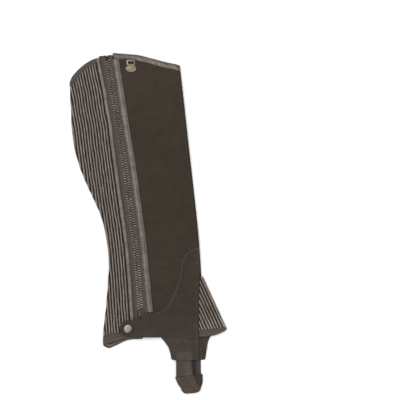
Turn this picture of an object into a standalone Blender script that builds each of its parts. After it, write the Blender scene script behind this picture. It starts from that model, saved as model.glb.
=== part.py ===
"""Suede half chap for the left leg, zipped and snapped, laid flat on its inner side.

X runs across the leg (+X is the shin), Y up the leg, Z up from the floor. The sizes below are in
millimetres, measured on the laid-out garment, and MM turns them into metres when a mesh is made.
The origin is on the floor under the middle of the footprint.
"""
from math import cos, pi, radians, sin

import bmesh
import bpy
import numpy as np
from mathutils import Matrix

MM = 0.001
MIDDLE = np.array([-1.74, 0.91, 0.0])  # middle of the footprint, in the measured sizes

SUEDE = 1.8           # wall of the suede pieces
STRETCH = 1.7         # ground of the ribbed stretch cloth, between its ribs
RIB_RISE = 0.8        # height of a rib over that ground
CALF_RIB = 4.15       # rib to rib on the calf
CALF_RIBS = 14        # ribs from the rear piping to just round the fold
INSTEP_RIB = 4.65     # rib to rib on the instep
SEAM = 0.3            # space left between neighbouring pieces
INNER_CALF_SEAM = -29.3  # across, where the stretch cloth meets the inner suede
LEG_FOOT = -182.0     # up, past the foot of the panels and gussets
HOLLOW = 1.4          # flat hollow between the upper and the lower wall
INSTEP_HOLLOW = 0.6   # the same inside the instep gusset
FINISH = 0.5          # how far bindings and hems stand over the cloth they bind
UPPER = STRETCH + HOLLOW  # height of the upper wall's inner face

TOP_BINDING = 8.6     # width of the leather binding on the suede's top edge
BINDING_START = -28.4  # across, where the outer binding begins beside the zip
BINDING_LIE = 2.4     # height of the outer binding's underside
INNER_BINDING = 2.0   # thickness of the binding that lies on the floor
BOUND_ROWS = (0, 0.17, 0.83, 1)  # shares of a binding's width at which its rows stand
REAR_PIPING = 5.5     # width of the strip between stretch cloth and zip
REAR_PIPING_ENDS = (-166.5, 256.0)
FRONT_PIPING_FOOT = -132.1
CALF_START = REAR_PIPING / 2 + SEAM  # from that strip's centre line to the stretch cloth
FRONT_PIPING = (4.3, 5.4)  # reach of the strip between zip and suede, either side of its ridge
PIPING_RISE = 2.7
STRIP_EDGE = 0.35     # share of a raised strip's thickness that is left at its edges
ZIP_CHAIN = (9.4, 2.8)  # width and thickness of the closed teeth
ZIP_TAPE = 0.8
ZIP_TAPE_ENDS = (-168.0, 258.4)
ZIP_FOOT = -125.6     # where the teeth go into the slider
ZIP_HEAD = 252.0
SLIDER = (9.4, 13.0, 3.0)  # across, up and thick, as for the next three
SLIDER_PLATE = (11.2, 13.4, 1.2)
SLIDER_CROWN = (2.6, 8.6, 2.2)
ZIP_PULL = (6.4, 22.0, 1.1)
SLIDER_LEAN = -1.5    # degrees
STRAP_WEB = 1.5       # thickness of the strap's elastic
STRAP_FOLD = -232.0   # up, where both elastics end inside the patch
PATCH_LEAF = 25.0     # height of the patch over the strap's fold, each side
PATCH_HOLLOW = 0.6    # between the patch's two leaves
PATCH_CORNER = 5.5    # how far its folded corners are cut back
SNAP = (-48.7, -152.2)  # centre of the snap
SNAP_ACROSS = 12.5
SNAP_DOME = (0.7, 1.5)  # height of the cap's rim, and of its dome over that
STUD_RADIUS = 4.6
TAB_ROUND = 12.8      # radius of the tab's end, about the snap
TAB_ROOT = -10.0      # across, where the tab leaves the ankle band
BAND_LONG = 131.0     # the ankle band from the tab's tip to the shin
BADGE = (-3.6, 238.0)  # middle of the badge
BADGE_LEAN = 6.0      # degrees
BADGE_THICK = 1.1
BADGE_DISC = (8.0, 5.6, -3.0)  # half width, half height, and how far its middle lies below the badge's
BADGE_SHOULDER = 35.0  # degrees above level at which the disc meets the loop
BADGE_LOOP = [(6.6, 3.2), (6.6, 8.3), (6.2, 8.7), (-6.2, 8.7), (-6.6, 8.3), (-6.6, 3.2)]
BADGE_SLOT = [(-4.2, 4.3), (-4.2, 6.7), (4.2, 6.7), (4.2, 4.3)]

# One row for each height up the leg: the centre lines of the closure.
CLOSURE_COLUMNS = ("up", "rear_piping", "zip", "front_piping")
CLOSURE = [
    (-180, -42.6, -28.6, -15.0),
    (-132, -41.7, -27.9, -14.6),
    (-82, -39.8, -26.2, -14.1),
    (-22, -38.9, -25.4, -13.9),
    (38, -41.1, -26.8, -15.6),
    (100, -43.0, -29.0, -17.8),
    (130, -43.9, -30.3, -19.7),
    (156, -44.2, -31.7, -21.1),
    (180, -46.3, -33.2, -22.4),
    (206, -47.4, -34.8, -23.6),
    (227, -49.7, -36.2, -24.6),
    (262, -52.8, -37.8, -26.4),
]
# Outlines that run up the leg: up, across.
CALF_FOLD = [
    (-182, -89.4), (-165, -88.2), (-145, -84.8), (-118, -78.8), (-83, -72.3), (-56, -67.9), (-38, -66.6),
    (-10, -68.0), (20, -71.9), (44, -79.5), (73, -89.4), (101, -96.9), (128, -101.0), (146, -101.9),
    (180, -100.2), (218, -98.1), (262, -96.0),
]
SHIN = [
    (-182, 55.0), (-151, 58.2), (-121, 61.4), (-91, 65.6), (-66, 68.9), (-46, 70.0), (40, 70.2), (120, 70.0),
    (200, 69.6), (262, 68.8),
]
INNER_INSTEP_SEAM = [
    (-182, 72.9), (-120, 70.2), (-91, 68.6), (-66, 69.3), (-46, 70.0), (120, 70.0), (262, 68.8),
]
OUTER_FLARE_LEFT = [(-212, 11.2), (-205, 10.7), (-195, 9.7), (-186, 7.6), (-179, 3.8), (-171, -1.6)]
OUTER_FLARE_RIGHT = [(-212, 50.0), (-195, 52.9), (-181, 55.3), (-171, 56.2)]
INNER_FLARE_LEFT = [(-213, 21.6), (-195, 20.4), (-186, 18.3), (-177, 14.4)]
INNER_FLARE_RIGHT = [(-213, 60.6), (-203, 63.3), (-195, 65.5), (-186, 67.9), (-177, 72.6)]
OUTER_ELASTIC = ([(-232, 14.9), (-206, 17.6)], [(-232, 40.6), (-206, 41.8)])
INNER_ELASTIC = ([(-232, 27.4), (-206, 29.6)], [(-232, 52.5), (-206, 54.9)])
# Outlines that run across it: across, up.
SUEDE_TOP = [
    (-30, 261.4), (-15, 258.6), (10, 253.6), (30, 246.3), (50, 238.8), (64, 234.2), (68, 232.5), (71, 230.9),
]
ANKLE_SEAM = [
    (-10, -132.5), (1.3, -131.8), (7.3, -129.6), (13.1, -124.6), (18.1, -117.9), (23.1, -110.0),
    (28.3, -101.0), (32.5, -90.9), (36.4, -80.8), (39.0, -71.0), (41.6, -62.5), (45.0, -55.2),
    (49.6, -49.4), (55.2, -45.8), (61.8, -43.6), (71, -42.8),
]
TAB_TOP = [(-50, -139.6), (-34, -140.4), (-28, -138.9), (-20, -133.5), (-10, -132.5)]
BAND_FOOT = [
    (-62, -165.0), (-48, -165.3), (-27, -168.0), (-1.5, -171.0), (15, -172.6), (56, -178.2), (60, -178.6),
]
INNER_FOOT = [(-30, -168.4), (-14, -169.9), (10, -172.4), (40, -175.2), (74, -177.4)]
INSTEP_FOOT = [(50, -176.8), (70, -176.8), (80, -175.4), (90, -172.4), (95, -170.4), (98, -166.5)]
OUTER_FLARE_FOOT = [(10, -205.2), (18, -208.0), (51, -210.6)]
INNER_FLARE_FOOT = [(21, -210.4), (62, -211.4)]
# The stretch cloth's edges on the flat pattern: distance from the rear piping, up.
CALF_TOP_CUT = [
    (0, 256.6), (14, 252.0), (28, 244.2), (38.5, 236.0), (44.0, 230.6), (46.6, 226.3), (49.4, 221.3),
    (52.2, 226.3), (54.8, 230.6), (60.5, 236.0), (70, 244.2), (84, 252.0), (98, 256.6), (125, 258.5),
]
CALF_TOP_LINE = [
    (0, 249.3), (7, 247.2), (14, 244.3), (21, 240.4), (28, 235.7), (33, 231.6), (37, 227.4), (40, 224.0),
    (43, 221.2), (46, 219.2), (49.4, 217.5), (53, 219.2), (56, 221.2), (59, 224.0), (62, 227.4),
    (66, 231.6), (70, 235.3), (77, 240.6), (84, 244.3), (98, 249.4), (125, 251.5),
]
CALF_HEM_CUT = [
    (0, -167.6), (15, -167.4), (24, -169.6), (34, -171.4), (42, -173.0), (47, -175.0), (51, -177.4),
    (55, -178.9), (62, -177.0), (84, -169.8), (107, -170.6), (125, -170.6),
]
CALF_HEM_HEAD = [
    (0, -158.8), (15, -157.8), (24, -157.4), (39, -158.1), (47, -159.5), (55, -161.0), (62, -161.6),
    (84, -161.0), (107, -161.5), (125, -161.5),
]
# How high the upper pieces' inner faces lie, across the leg: across, height.
PANEL_LIE = [(-12, 3.1), (20, 3.1), (45, 2.7), (62, 2.25), (71, 2.1)]
BAND_LIE = [
    (-62, 7.5), (-48, 7.6), (-40, 7.3), (-30, 6.4), (-20, 6.0), (-12, 4.3), (-4, 3.1), (40, 2.8),
    (62, 2.25), (71, 2.1),
]
FLARE_LIE = [(-3, 3.1), (20, 2.7), (60, 2.2)]
# The patch round the strap's fold: distance along it from its front edge, left and right edges.
PATCH_SIDES = [
    (0, 13.2, 42.2), (12, 16.3, 45.4), (22, 20.2, 49.0), (28, 21.2, 50.4), (36, 23.6, 52.8), (54, 26.8, 55.0),
]
# The instep gusset's folded edge runs straight down from its point.
INSTEP_POINT = (67.1, -76.4)
INSTEP_SLANT = 0.337  # across for each millimetre down
INSTEP_HEAD = -87.0   # where the gusset opens wide enough to hold its fold
INSTEP_HEM_HEAD = -165.6


def smooth(table, at):
    """A cubic curve through the rows of a table (place, value), read at each place in at."""
    knots, values = np.array(table, float).T
    at = np.clip(at, knots[0], knots[-1])
    slopes = np.gradient(values, knots)
    i = np.clip(np.searchsorted(knots, at) - 1, 0, len(knots) - 2)
    span = knots[i + 1] - knots[i]
    t = (at - knots[i]) / span
    return (values[i] * (1 + 2 * t) * (1 - t) ** 2 + values[i + 1] * t * t * (3 - 2 * t)
            + span * (slopes[i] * t * (1 - t) ** 2 - slopes[i + 1] * t * t * (1 - t)))


def edge(table, shift=0.0):
    """A table's curve as a function, moved sideways by shift."""
    return lambda at: smooth(table, at) + shift


def level(value):
    """A straight edge at one place, as a function."""
    return lambda at: value + 0 * at


def closure(name, shift=0.0):
    """One of the closure's centre lines as a function of the height up the leg."""
    column = CLOSURE_COLUMNS.index(name)
    return edge([(row[0], row[column]) for row in CLOSURE], shift)


def drop(curve, distance):
    """The curve that lies distance below another, square to it where it slopes."""
    step = 0.5

    def lower(at):
        slope = (curve(at + step) - curve(at - step)) / (2 * step)
        return curve(at) - distance * np.sqrt(1 + slope ** 2)
    return lower


def field(left, right, foot, head, columns, rows):
    """Points (across, up) that fill the field between four edges.

    left and right give across from up, foot and head give up from across; columns is a count or
    the shares of the width at which the columns stand.
    """
    shares = np.linspace(0, 1, columns + 1) if isinstance(columns, int) else np.array(columns)
    u = shares[None, :]
    v = np.linspace(0, 1, rows + 1)[:, None]
    up = 0 * u + 0 * v
    for _ in range(40):
        across = left(up) * (1 - u) + right(up) * u
        up = foot(across) * (1 - v) + head(across) * v
    return across, up


def make_material(name, colour, roughness, metallic=0.0):
    material = bpy.data.materials.new(name)
    material.use_nodes = True
    shader = material.node_tree.nodes["Principled BSDF"]
    shader.inputs["Base Color"].default_value = (*colour, 1.0)
    shader.inputs["Roughness"].default_value = roughness
    shader.inputs["Metallic"].default_value = metallic
    material.diffuse_color = (*colour, 1.0)
    return material


def add_object(name, mesh, material):
    """Puts a mesh into the part's collection as a named piece."""
    piece = bpy.data.objects.new(name, mesh)
    mesh.materials.append(material)
    parts.objects.link(piece)
    return piece


def grid_faces(rows, columns, start=0):
    """The quads of a grid of points, counter-clockwise where columns run +X and rows run +Y."""
    i, j = np.mgrid[0:rows - 1, 0:columns - 1]
    corner = start + i * columns + j
    return np.stack([corner, corner + 1, corner + columns + 1, corner + columns], -1).reshape(-1, 4)


def to_metres(grid):
    return (np.reshape(grid, (-1, 3)) - MIDDLE) * MM


def soften(piece, width):
    """Rounds a wall's long edges a little."""
    bevel = piece.modifiers.new("soft edges", "BEVEL")
    bevel.width = width * MM
    bevel.segments = 1
    bevel.limit_method = "ANGLE"
    bevel.angle_limit = radians(55)
    bevel.use_clamp_overlap = True


def cloth(name, across, up, height, thickness, material, round_off=0.4):
    """A cut piece of even thickness, lying with its lower face at the given height."""
    grid = np.stack(np.broadcast_arrays(across, up, height), -1)
    mesh = bpy.data.meshes.new(name)
    mesh.from_pydata(to_metres(grid), [], grid_faces(*across.shape).tolist())
    piece = add_object(name, mesh, material)
    solid = piece.modifiers.new("wall", "SOLIDIFY")
    solid.thickness = thickness * MM
    solid.offset = 1.0
    solid.use_even_offset = True
    if round_off:
        soften(piece, round_off)
    return piece


def wall(name, inner, outer, material):
    """A closed wall between two equal grids of points, for cloth whose two faces differ."""
    rows, columns = inner.shape[:2]
    count = rows * columns
    place = np.arange(count).reshape(rows, columns)
    rim = np.concatenate([place[0, :-1], place[:-1, -1], place[-1, :0:-1], place[:0:-1, 0]])
    after = np.roll(rim, -1)
    sides = np.stack([rim, after, after + count, rim + count], -1)
    faces = np.concatenate([grid_faces(rows, columns)[:, ::-1], grid_faces(rows, columns, count), sides])
    mesh = bpy.data.meshes.new(name)
    mesh.from_pydata(np.concatenate([to_metres(inner), to_metres(outer)]), [], faces.tolist())
    shell = bmesh.new()
    shell.from_mesh(mesh)
    bmesh.ops.recalc_face_normals(shell, faces=shell.faces)
    shell.to_mesh(mesh)
    shell.free()
    return add_object(name, mesh, material)


def strip(name, left, right, foot, head, rows, base, rise, material, slots=6, squareness=3.0):
    """A raised strip between two edges: flat below, its top a low arch that ends square."""
    u = np.linspace(-1, 1, slots + 1)
    across, up = field(left, right, foot, head, list((u + 1) / 2), rows)
    arch = STRIP_EDGE + (1 - STRIP_EDGE) * (1 - np.abs(u) ** squareness)[None, :]
    inner = np.stack(np.broadcast_arrays(across, up, base), -1)
    outer = np.stack(np.broadcast_arrays(across, up, base + rise * arch), -1)
    return wall(name, inner, outer, material)


def rounded_fold(path, up, height, fold, side, hollow):
    """Stretch cloth laid round a folded edge.

    path is the distance along the cloth from the fold's crest, positive on the upper layer and
    negative on the lower; height is measured out from the cloth's inner face. side is the way the
    fold points. Each cross-section is a half circle between two level runs.
    """
    middle_radius = hollow / 2 + STRETCH / 2
    angle = np.clip(path / middle_radius, -pi / 2, pi / 2)
    run = np.abs(path - angle * middle_radius)
    radius = hollow / 2 + height
    centre = fold(up) - side * (hollow / 2 + STRETCH)
    across = centre + side * (radius * np.cos(angle) - run)
    level = STRETCH + hollow / 2 + radius * np.sin(angle)
    return np.stack(np.broadcast_arrays(across, up, level), -1)


def upper_share(path, hollow):
    """1 on the upper layer, falling to 0 at the fold's crest and on the layer on the floor."""
    middle_radius = hollow / 2 + STRETCH / 2
    t = np.clip(path / middle_radius / radians(60), 0, 1)
    return t * t * (3 - 2 * t)


calf_fold = edge(CALF_FOLD)


def calf_path(distance, up):
    """Path round the calf fold for a distance from the rear piping."""
    middle_radius = HOLLOW / 2 + STRETCH / 2
    quarter = pi / 2 * middle_radius
    level_run = closure("rear_piping")(up) - (calf_fold(up) + HOLLOW / 2 + STRETCH)
    return level_run + quarter - distance


def calf_width(up):
    """Distance from the rear piping to the inner seam, along the cloth."""
    middle_radius = HOLLOW / 2 + STRETCH / 2
    turn = calf_fold(up) + HOLLOW / 2 + STRETCH
    return (closure("rear_piping")(up) - turn) + pi * middle_radius + (INNER_CALF_SEAM - turn)


def calf_columns():
    """The stretch cloth's columns: three to a rib round the fold, then plain ones to the inner seam.

    Gives each column's distance from the rear piping, and its share of the way from there on to
    the inner seam.
    """
    ribbed = CALF_START + np.arange(CALF_RIBS * 3 + 1) * CALF_RIB / 3
    plain = np.linspace(0, 1, 8)[1:]
    distance = np.concatenate([ribbed, np.full(len(plain), ribbed[-1])])
    share = np.concatenate([np.zeros(len(ribbed)), plain])
    return distance[None, :], share[None, :]


def calf_layer(foot, head, rows, low, high):
    """Inner and outer points of calf cloth between two lines of the flat pattern.

    rows are the shares of its height at which its rows stand. low is how far its inner face lies
    from the stretch cloth's, and high gives its outer face's from the columns' distance and rows.
    """
    distance, share = calf_columns()
    v = np.array(rows)[:, None]
    up = 0 * distance + 0 * v
    for _ in range(20):
        along = distance + share * (calf_width(up) - distance)
        up = foot(along) * (1 - v) + head(along) * v
    path = calf_path(along, up)
    top = STRETCH + high(distance, share, v) * upper_share(path, HOLLOW)
    inner = rounded_fold(path, up, low, calf_fold, -1, HOLLOW)
    outer = rounded_fold(path, up, top, calf_fold, -1, HOLLOW)
    return inner, outer


def build_calf():
    """The ribbed gusset, its elastic top binding and its hem, all laid round the calf fold."""
    def ribs(distance, share, v):
        phase = (distance - CALF_START) / CALF_RIB
        return np.where(share > 0, 0, RIB_RISE * (0.5 - 0.5 * np.cos(2 * pi * phase))) + 0 * v

    def bound(distance, share, v):
        return FINISH * np.clip(6 * np.minimum(v, 1 - v), 0, 1) + 0 * distance

    # The rows stand closer where the fold slants across the ribs.
    rows = np.interp(np.arange(36), (0, 8, 12, 27, 35), (0, 0.25, 0.42, 0.70, 1))
    grid = calf_layer(edge(CALF_HEM_HEAD, SEAM), edge(CALF_TOP_LINE, -SEAM), rows, 0.0, ribs)
    wall("calf_gusset", *grid, stretch_ribbed)
    grid = calf_layer(edge(CALF_TOP_LINE), edge(CALF_TOP_CUT), BOUND_ROWS, -0.2, bound)
    wall("calf_top_binding", *grid, binding_elastic)
    grid = calf_layer(edge(CALF_HEM_CUT), edge(CALF_HEM_HEAD), BOUND_ROWS, -0.2, bound)
    wall("calf_hem", *grid, binding_elastic)


def instep_fold(up):
    """The instep gusset's folded edge."""
    return INSTEP_POINT[0] + INSTEP_SLANT * (INSTEP_POINT[1] - up)


def build_instep():
    """The small ribbed gusset over the instep and its hem, folded along the front edge."""
    turn = INSTEP_HOLLOW / 2 + STRETCH
    quarter = pi / 2 * (INSTEP_HOLLOW / 2 + STRETCH / 2)
    levels = np.linspace(LEG_FOOT, INSTEP_HEAD, 200)
    upper_run = instep_fold(levels) - turn - smooth(SHIN, levels) - SEAM + quarter
    lower_run = instep_fold(levels) - turn - smooth(INNER_INSTEP_SEAM, levels) - SEAM + quarter

    above_hem = INSTEP_HEM_HEAD + 1.2
    widest = [np.interp(above_hem, levels, run) for run in (upper_run, lower_run)]
    upper = np.append(np.arange(upper_run[-1], widest[0] - 0.4, INSTEP_RIB / 3), widest[0])
    lower = -np.append(np.arange(lower_run[-1], widest[1] - 0.8, 3.4), widest[1])
    crest = np.linspace(lower[0], upper[0], 8)[1:-1]
    path = np.concatenate([lower[::-1], crest, upper])[None, :]
    head = np.where(path > 0, np.interp(path, upper_run[::-1], levels[::-1]),
                    np.interp(-path, lower_run[::-1], levels[::-1]))
    v = np.linspace(0, 1, 7)[:, None]
    up = INSTEP_HEM_HEAD * (1 - v) + head * v
    rib = 0.8 * RIB_RISE * (0.5 - 0.5 * np.cos(2 * pi * (path - upper[0]) / INSTEP_RIB))
    height = STRETCH + rib * upper_share(path, INSTEP_HOLLOW)
    inner = rounded_fold(path, up, 0.0, instep_fold, 1, INSTEP_HOLLOW)
    outer = rounded_fold(path, up, height, instep_fold, 1, INSTEP_HOLLOW)
    wall("instep_gusset", inner, outer, stretch_ribbed)

    # The hem widens downwards, so that its ends stay on the two seams.
    v = np.array(BOUND_ROWS)[:, None]
    up = INSTEP_HEM_HEAD + 0 * (path + v)
    narrow = path
    for _ in range(8):
        reach = np.where(narrow > 0, np.interp(up, levels, upper_run) / widest[0],
                         np.interp(up, levels, lower_run) / widest[1])
        path = narrow * reach
        foot = smooth(INSTEP_FOOT, instep_fold(INSTEP_HEM_HEAD) - np.abs(path))
        up = foot * (1 - v) + (INSTEP_HEM_HEAD - SEAM) * v
    bulge = FINISH * np.clip(6 * np.minimum(v, 1 - v), 0, 1) * upper_share(path, INSTEP_HOLLOW)
    inner = rounded_fold(path, up, -0.15, instep_fold, 1, INSTEP_HOLLOW)
    outer = rounded_fold(path, up, STRETCH + bulge, instep_fold, 1, INSTEP_HOLLOW)
    wall("instep_hem", inner, outer, binding_elastic)


def build_suede():
    """The outer and inner leg panels with their top bindings, and the ankle band with its tab."""
    top = edge(SUEDE_TOP)
    under_binding = drop(top, TOP_BINDING + SEAM)
    inner_left = level(INNER_CALF_SEAM + SEAM)
    outer_left = closure("front_piping", FRONT_PIPING[1] + SEAM)
    across, up = field(outer_left, edge(SHIN), edge(ANKLE_SEAM), under_binding, 26, 9)
    cloth("outer_panel", across, up, smooth(PANEL_LIE, across), SUEDE, suede)

    across, up = field(inner_left, edge(INNER_INSTEP_SEAM), edge(INNER_FOOT), under_binding, 24, 24)
    cloth("inner_panel", across, up, 0.0, SUEDE, suede, round_off=0)

    strip("outer_top_binding", level(BINDING_START), edge(SHIN), drop(top, TOP_BINDING), top, 2,
          BINDING_LIE, SUEDE + 2 * FINISH, binding_leather, slots=30, squareness=40)
    strip("inner_top_binding", inner_left, edge(SHIN), drop(top, TOP_BINDING), top, 2,
          0.0, INNER_BINDING, binding_leather, slots=24, squareness=40)

    seam_below = drop(edge(ANKLE_SEAM), 2 * SEAM)  # room for the curve's chords

    def band_head(at):
        reach = np.clip((SNAP[0] - at) / TAB_ROUND, 0, 0.999)
        tab = smooth(TAB_TOP, at) - (1 - np.sqrt(1 - reach ** 2)) * TAB_ROUND
        return np.where(at < TAB_ROOT, tab - SEAM, seam_below(at))

    def band_foot(at):
        reach = np.clip((SNAP[0] - at) / TAB_ROUND, 0, 0.999)
        return smooth(BAND_FOOT, at) + (1 - np.sqrt(1 - reach ** 2)) * TAB_ROUND

    tip = SNAP[0] - TAB_ROUND * 0.995
    round_end = 1 - np.cos(np.linspace(0, pi / 2, 6))
    end_share = TAB_ROUND / BAND_LONG
    shares = np.concatenate([round_end * end_share, np.linspace(end_share, 1, 36)[1:]])
    across, up = field(level(tip), edge(SHIN), band_foot, band_head, list(shares), 5)
    cloth("ankle_band", across, up, smooth(BAND_LIE, across), SUEDE, suede)


def build_closure():
    """The zip on its tapes and the two leather strips that cover the tapes' edges."""
    half = REAR_PIPING / 2
    foot, head = REAR_PIPING_ENDS
    strip("rear_piping", closure("rear_piping", -half), closure("rear_piping", half),
          level(foot), level(head), 16, UPPER, PIPING_RISE, piping_leather)
    front_head = drop(edge(SUEDE_TOP), TOP_BINDING + SEAM)
    strip("front_piping", closure("front_piping", -FRONT_PIPING[0]), closure("front_piping", FRONT_PIPING[1]),
          level(FRONT_PIPING_FOOT), front_head, 16, UPPER, PIPING_RISE, piping_leather)

    chain = ZIP_CHAIN[0] / 2
    tape_foot, tape_head = ZIP_TAPE_ENDS
    front_edge = closure("front_piping", -FRONT_PIPING[0] - SEAM)
    for name, left, right in (
            ("zip_tape_rear", closure("rear_piping", half + SEAM), closure("zip", -chain - SEAM)),
            ("zip_tape_front", closure("zip", chain + SEAM), front_edge)):
        across, up = field(left, right, level(tape_foot), level(tape_head), 1, 16)
        cloth(name, across, up, UPPER + SEAM, ZIP_TAPE, zip_cloth, round_off=0)
    chain_lie = UPPER + SEAM + ZIP_TAPE / 2 - ZIP_CHAIN[1] / 2
    strip("zip_chain", closure("zip", -chain), closure("zip", chain), level(ZIP_FOOT), level(ZIP_HEAD), 16,
          chain_lie, ZIP_CHAIN[1], zip_metal)


def block(name, size, centre, material, bevel, lean=0.0):
    """A small hard piece: a box with rounded edges, turned about Z by lean degrees."""
    mesh = bpy.data.meshes.new(name)
    box = bmesh.new()
    bmesh.ops.create_cube(box, size=1.0)
    place = Matrix.Translation((np.array(centre) - MIDDLE) * MM) @ Matrix.Rotation(radians(lean), 4, "Z")
    bmesh.ops.transform(box, matrix=place @ Matrix.Diagonal((*(np.array(size) * MM), 1.0)), verts=box.verts)
    bmesh.ops.bevel(box, geom=box.edges[:], offset=bevel * MM, segments=2, profile=0.5, affect="EDGES")
    box.to_mesh(mesh)
    box.free()
    return add_object(name, mesh, material)


def join(piece, other):
    """Unites a second body with a piece and removes the body."""
    union = piece.modifiers.new("union", "BOOLEAN")
    union.operation = "UNION"
    union.object = other
    guides.objects.link(other)
    parts.objects.unlink(other)
    other.hide_render = True
    other.display_type = "WIRE"


def build_slider():
    """The slider at the foot of the closed zip, and its pull tucked down under the ankle tab."""
    middle = ZIP_FOOT - 7.0
    at = closure("zip")(middle)
    body = block("zip_slider", SLIDER, (at, middle, UPPER + 0.6), zip_metal, 0.6, SLIDER_LEAN)
    plate = block("slider_plate", SLIDER_PLATE, (at, middle, UPPER + 2.0), zip_metal, 0.4, SLIDER_LEAN)
    join(body, plate)
    crown = block("slider_crown", SLIDER_CROWN, (at - 0.6, middle, UPPER + 2.8), zip_metal, 0.5, SLIDER_LEAN)
    join(body, crown)
    pull_centre = (at - 1.0, middle - 18.4, UPPER + SEAM + ZIP_TAPE + 0.95)
    block("zip_pull", ZIP_PULL, pull_centre, zip_metal, 0.4, SLIDER_LEAN)


def turned(name, profile, centre, material):
    """A turned piece: a profile of (radius, height) rows, top to bottom, spun about Z."""
    mesh = bpy.data.meshes.new(name)
    edges = [(i, i + 1) for i in range(len(profile) - 1)]
    mesh.from_pydata([(r * MM, 0, z * MM) for r, z in profile], edges, [])
    piece = add_object(name, mesh, material)
    spin = piece.modifiers.new("turn", "SCREW")
    spin.steps = spin.render_steps = 28
    spin.use_merge_vertices = True
    spin.merge_threshold = 0.00005
    piece.location = (np.array(centre) - MIDDLE) * MM
    return piece


def build_snap():
    """The snap's domed cap over the tab, and its stud between the tab and the stretch cloth."""
    radius = SNAP_ACROSS / 2
    rim, dome = SNAP_DOME
    on_tab = smooth(BAND_LIE, SNAP[0]) + SUEDE + SEAM
    profile = [(radius * sin(a), rim + dome * cos(a)) for a in np.linspace(0, pi / 2, 6)]
    turned("snap_cap", profile + [(radius - 0.3, 0.0), (0.0, 0.0)], (*SNAP, on_tab), plated_metal)
    on_ribs = UPPER + STRETCH + RIB_RISE + SEAM
    height = smooth(BAND_LIE, SNAP[0]) - 2 * SEAM - on_ribs
    crown = [(0.0, height), (STUD_RADIUS - 1.0, height), (STUD_RADIUS, height - 0.4)]
    profile = crown + [(STUD_RADIUS, 0.0), (0.0, 0.0)]
    turned("snap_stud", profile, (*SNAP, on_ribs), plated_metal)


def build_badge():
    """A plain metal badge: an oval plate under a flat loop with a slot in it."""
    outline = bpy.data.curves.new("badge", "CURVE")
    outline.dimensions = "2D"
    outline.fill_mode = "BOTH"
    outline.extrude = BADGE_THICK / 2 * MM
    half_width, half_height, below = BADGE_DISC
    turns = np.radians(np.linspace(180 - BADGE_SHOULDER, 360 + BADGE_SHOULDER, 22))
    disc = [(half_width * cos(turn), below + half_height * sin(turn)) for turn in turns]
    for ring in (disc + BADGE_LOOP, BADGE_SLOT):
        spline = outline.splines.new("POLY")
        spline.points.add(len(ring) - 1)
        spline.points.foreach_set("co", [value for x, y in ring for value in (x * MM, y * MM, 0.0, 1.0)])
        spline.use_cyclic_u = True
    shape = bpy.data.objects.new("badge_outline", outline)
    guides.objects.link(shape)
    mesh = bpy.data.meshes.new_from_object(shape.evaluated_get(bpy.context.evaluated_depsgraph_get()))
    bpy.data.objects.remove(shape)
    lie = smooth(PANEL_LIE, BADGE[0]) + SUEDE + SEAM + BADGE_THICK / 2
    place = Matrix.Translation((np.array((*BADGE, lie)) - MIDDLE) * MM)
    place @= Matrix.Rotation(radians(-BADGE_LEAN), 4, "Z")
    body = bmesh.new()
    body.from_mesh(mesh)
    bmesh.ops.remove_doubles(body, verts=body.verts, dist=0.00001)
    bmesh.ops.recalc_face_normals(body, faces=body.faces)
    bmesh.ops.transform(body, matrix=place, verts=body.verts)
    body.to_mesh(mesh)
    body.free()
    mesh.name = "badge"
    add_object("badge", mesh, badge_metal)


def build_patch():
    """The suede patch folded up round both elastics, where the strap goes under the boot."""
    gap = PATCH_HOLLOW / 2
    half_turn = pi * (gap + SUEDE / 2)
    run = np.concatenate([np.linspace(0, PATCH_LEAF, 6), PATCH_LEAF + half_turn * np.array([0.25, 0.5, 0.75]),
                          np.linspace(PATCH_LEAF + half_turn, 2 * PATCH_LEAF + half_turn, 6)])[:, None]
    u = np.linspace(0, 1, 9)[None, :]
    left = smooth([(row[0], row[1]) for row in PATCH_SIDES], run)
    right = smooth([(row[0], row[2]) for row in PATCH_SIDES], run)
    angle = np.clip((run - PATCH_LEAF) / half_turn, 0, 1) * pi
    level_run = np.maximum(PATCH_LEAF - run, np.maximum(run - PATCH_LEAF - half_turn, 0))
    cut_back = PATCH_CORNER * np.abs(2 * u - 1) ** 5 * (1 - level_run / PATCH_LEAF) ** 2
    grids = []
    for radius in (gap, gap + SUEDE):
        up = STRAP_FOLD - SEAM - PATCH_LEAF - radius * np.sin(angle) + level_run + cut_back
        height = gap + SUEDE + radius * np.cos(angle)
        grids.append(np.stack(np.broadcast_arrays(left + (right - left) * u, up, height), -1))
    wall("strap_patch", *grids, suede_worn)


def build_strap():
    """The strap that goes under the boot: a flare and an elastic each side, and one wear patch."""
    across, up = field(edge(OUTER_FLARE_LEFT), edge(OUTER_FLARE_RIGHT), edge(OUTER_FLARE_FOOT),
                       edge(BAND_FOOT, -SEAM), 10, 6)
    cloth("outer_strap_flare", across, up, smooth(FLARE_LIE, across), SUEDE, suede)
    across, up = field(edge(INNER_FLARE_LEFT), edge(INNER_FLARE_RIGHT), edge(INNER_FLARE_FOOT),
                       edge(INNER_FOOT, -SEAM), 10, 6)
    cloth("inner_strap_flare", across, up, 0.0, SUEDE, suede)

    outer_lie = smooth(FLARE_LIE, 30.0) - 0.2
    for name, sides, flare_foot, lie in (
            ("outer_strap_elastic", OUTER_ELASTIC, OUTER_FLARE_FOOT, outer_lie),
            ("inner_strap_elastic", INNER_ELASTIC, INNER_FLARE_FOOT, 0.0)):
        head = drop(edge(flare_foot), SEAM)
        across, up = field(edge(sides[0]), edge(sides[1]), level(STRAP_FOLD), head, 4, 5)
        cloth(name, across, up, lie, STRAP_WEB, strap_elastic, round_off=0.2)
    build_patch()


for old in list(bpy.data.objects):
    bpy.data.objects.remove(old, do_unlink=True)
parts = bpy.data.collections.new("suede_half_chap")
guides = bpy.data.collections.new("guides")
bpy.context.scene.collection.children.link(parts)
bpy.context.scene.collection.children.link(guides)

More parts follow.
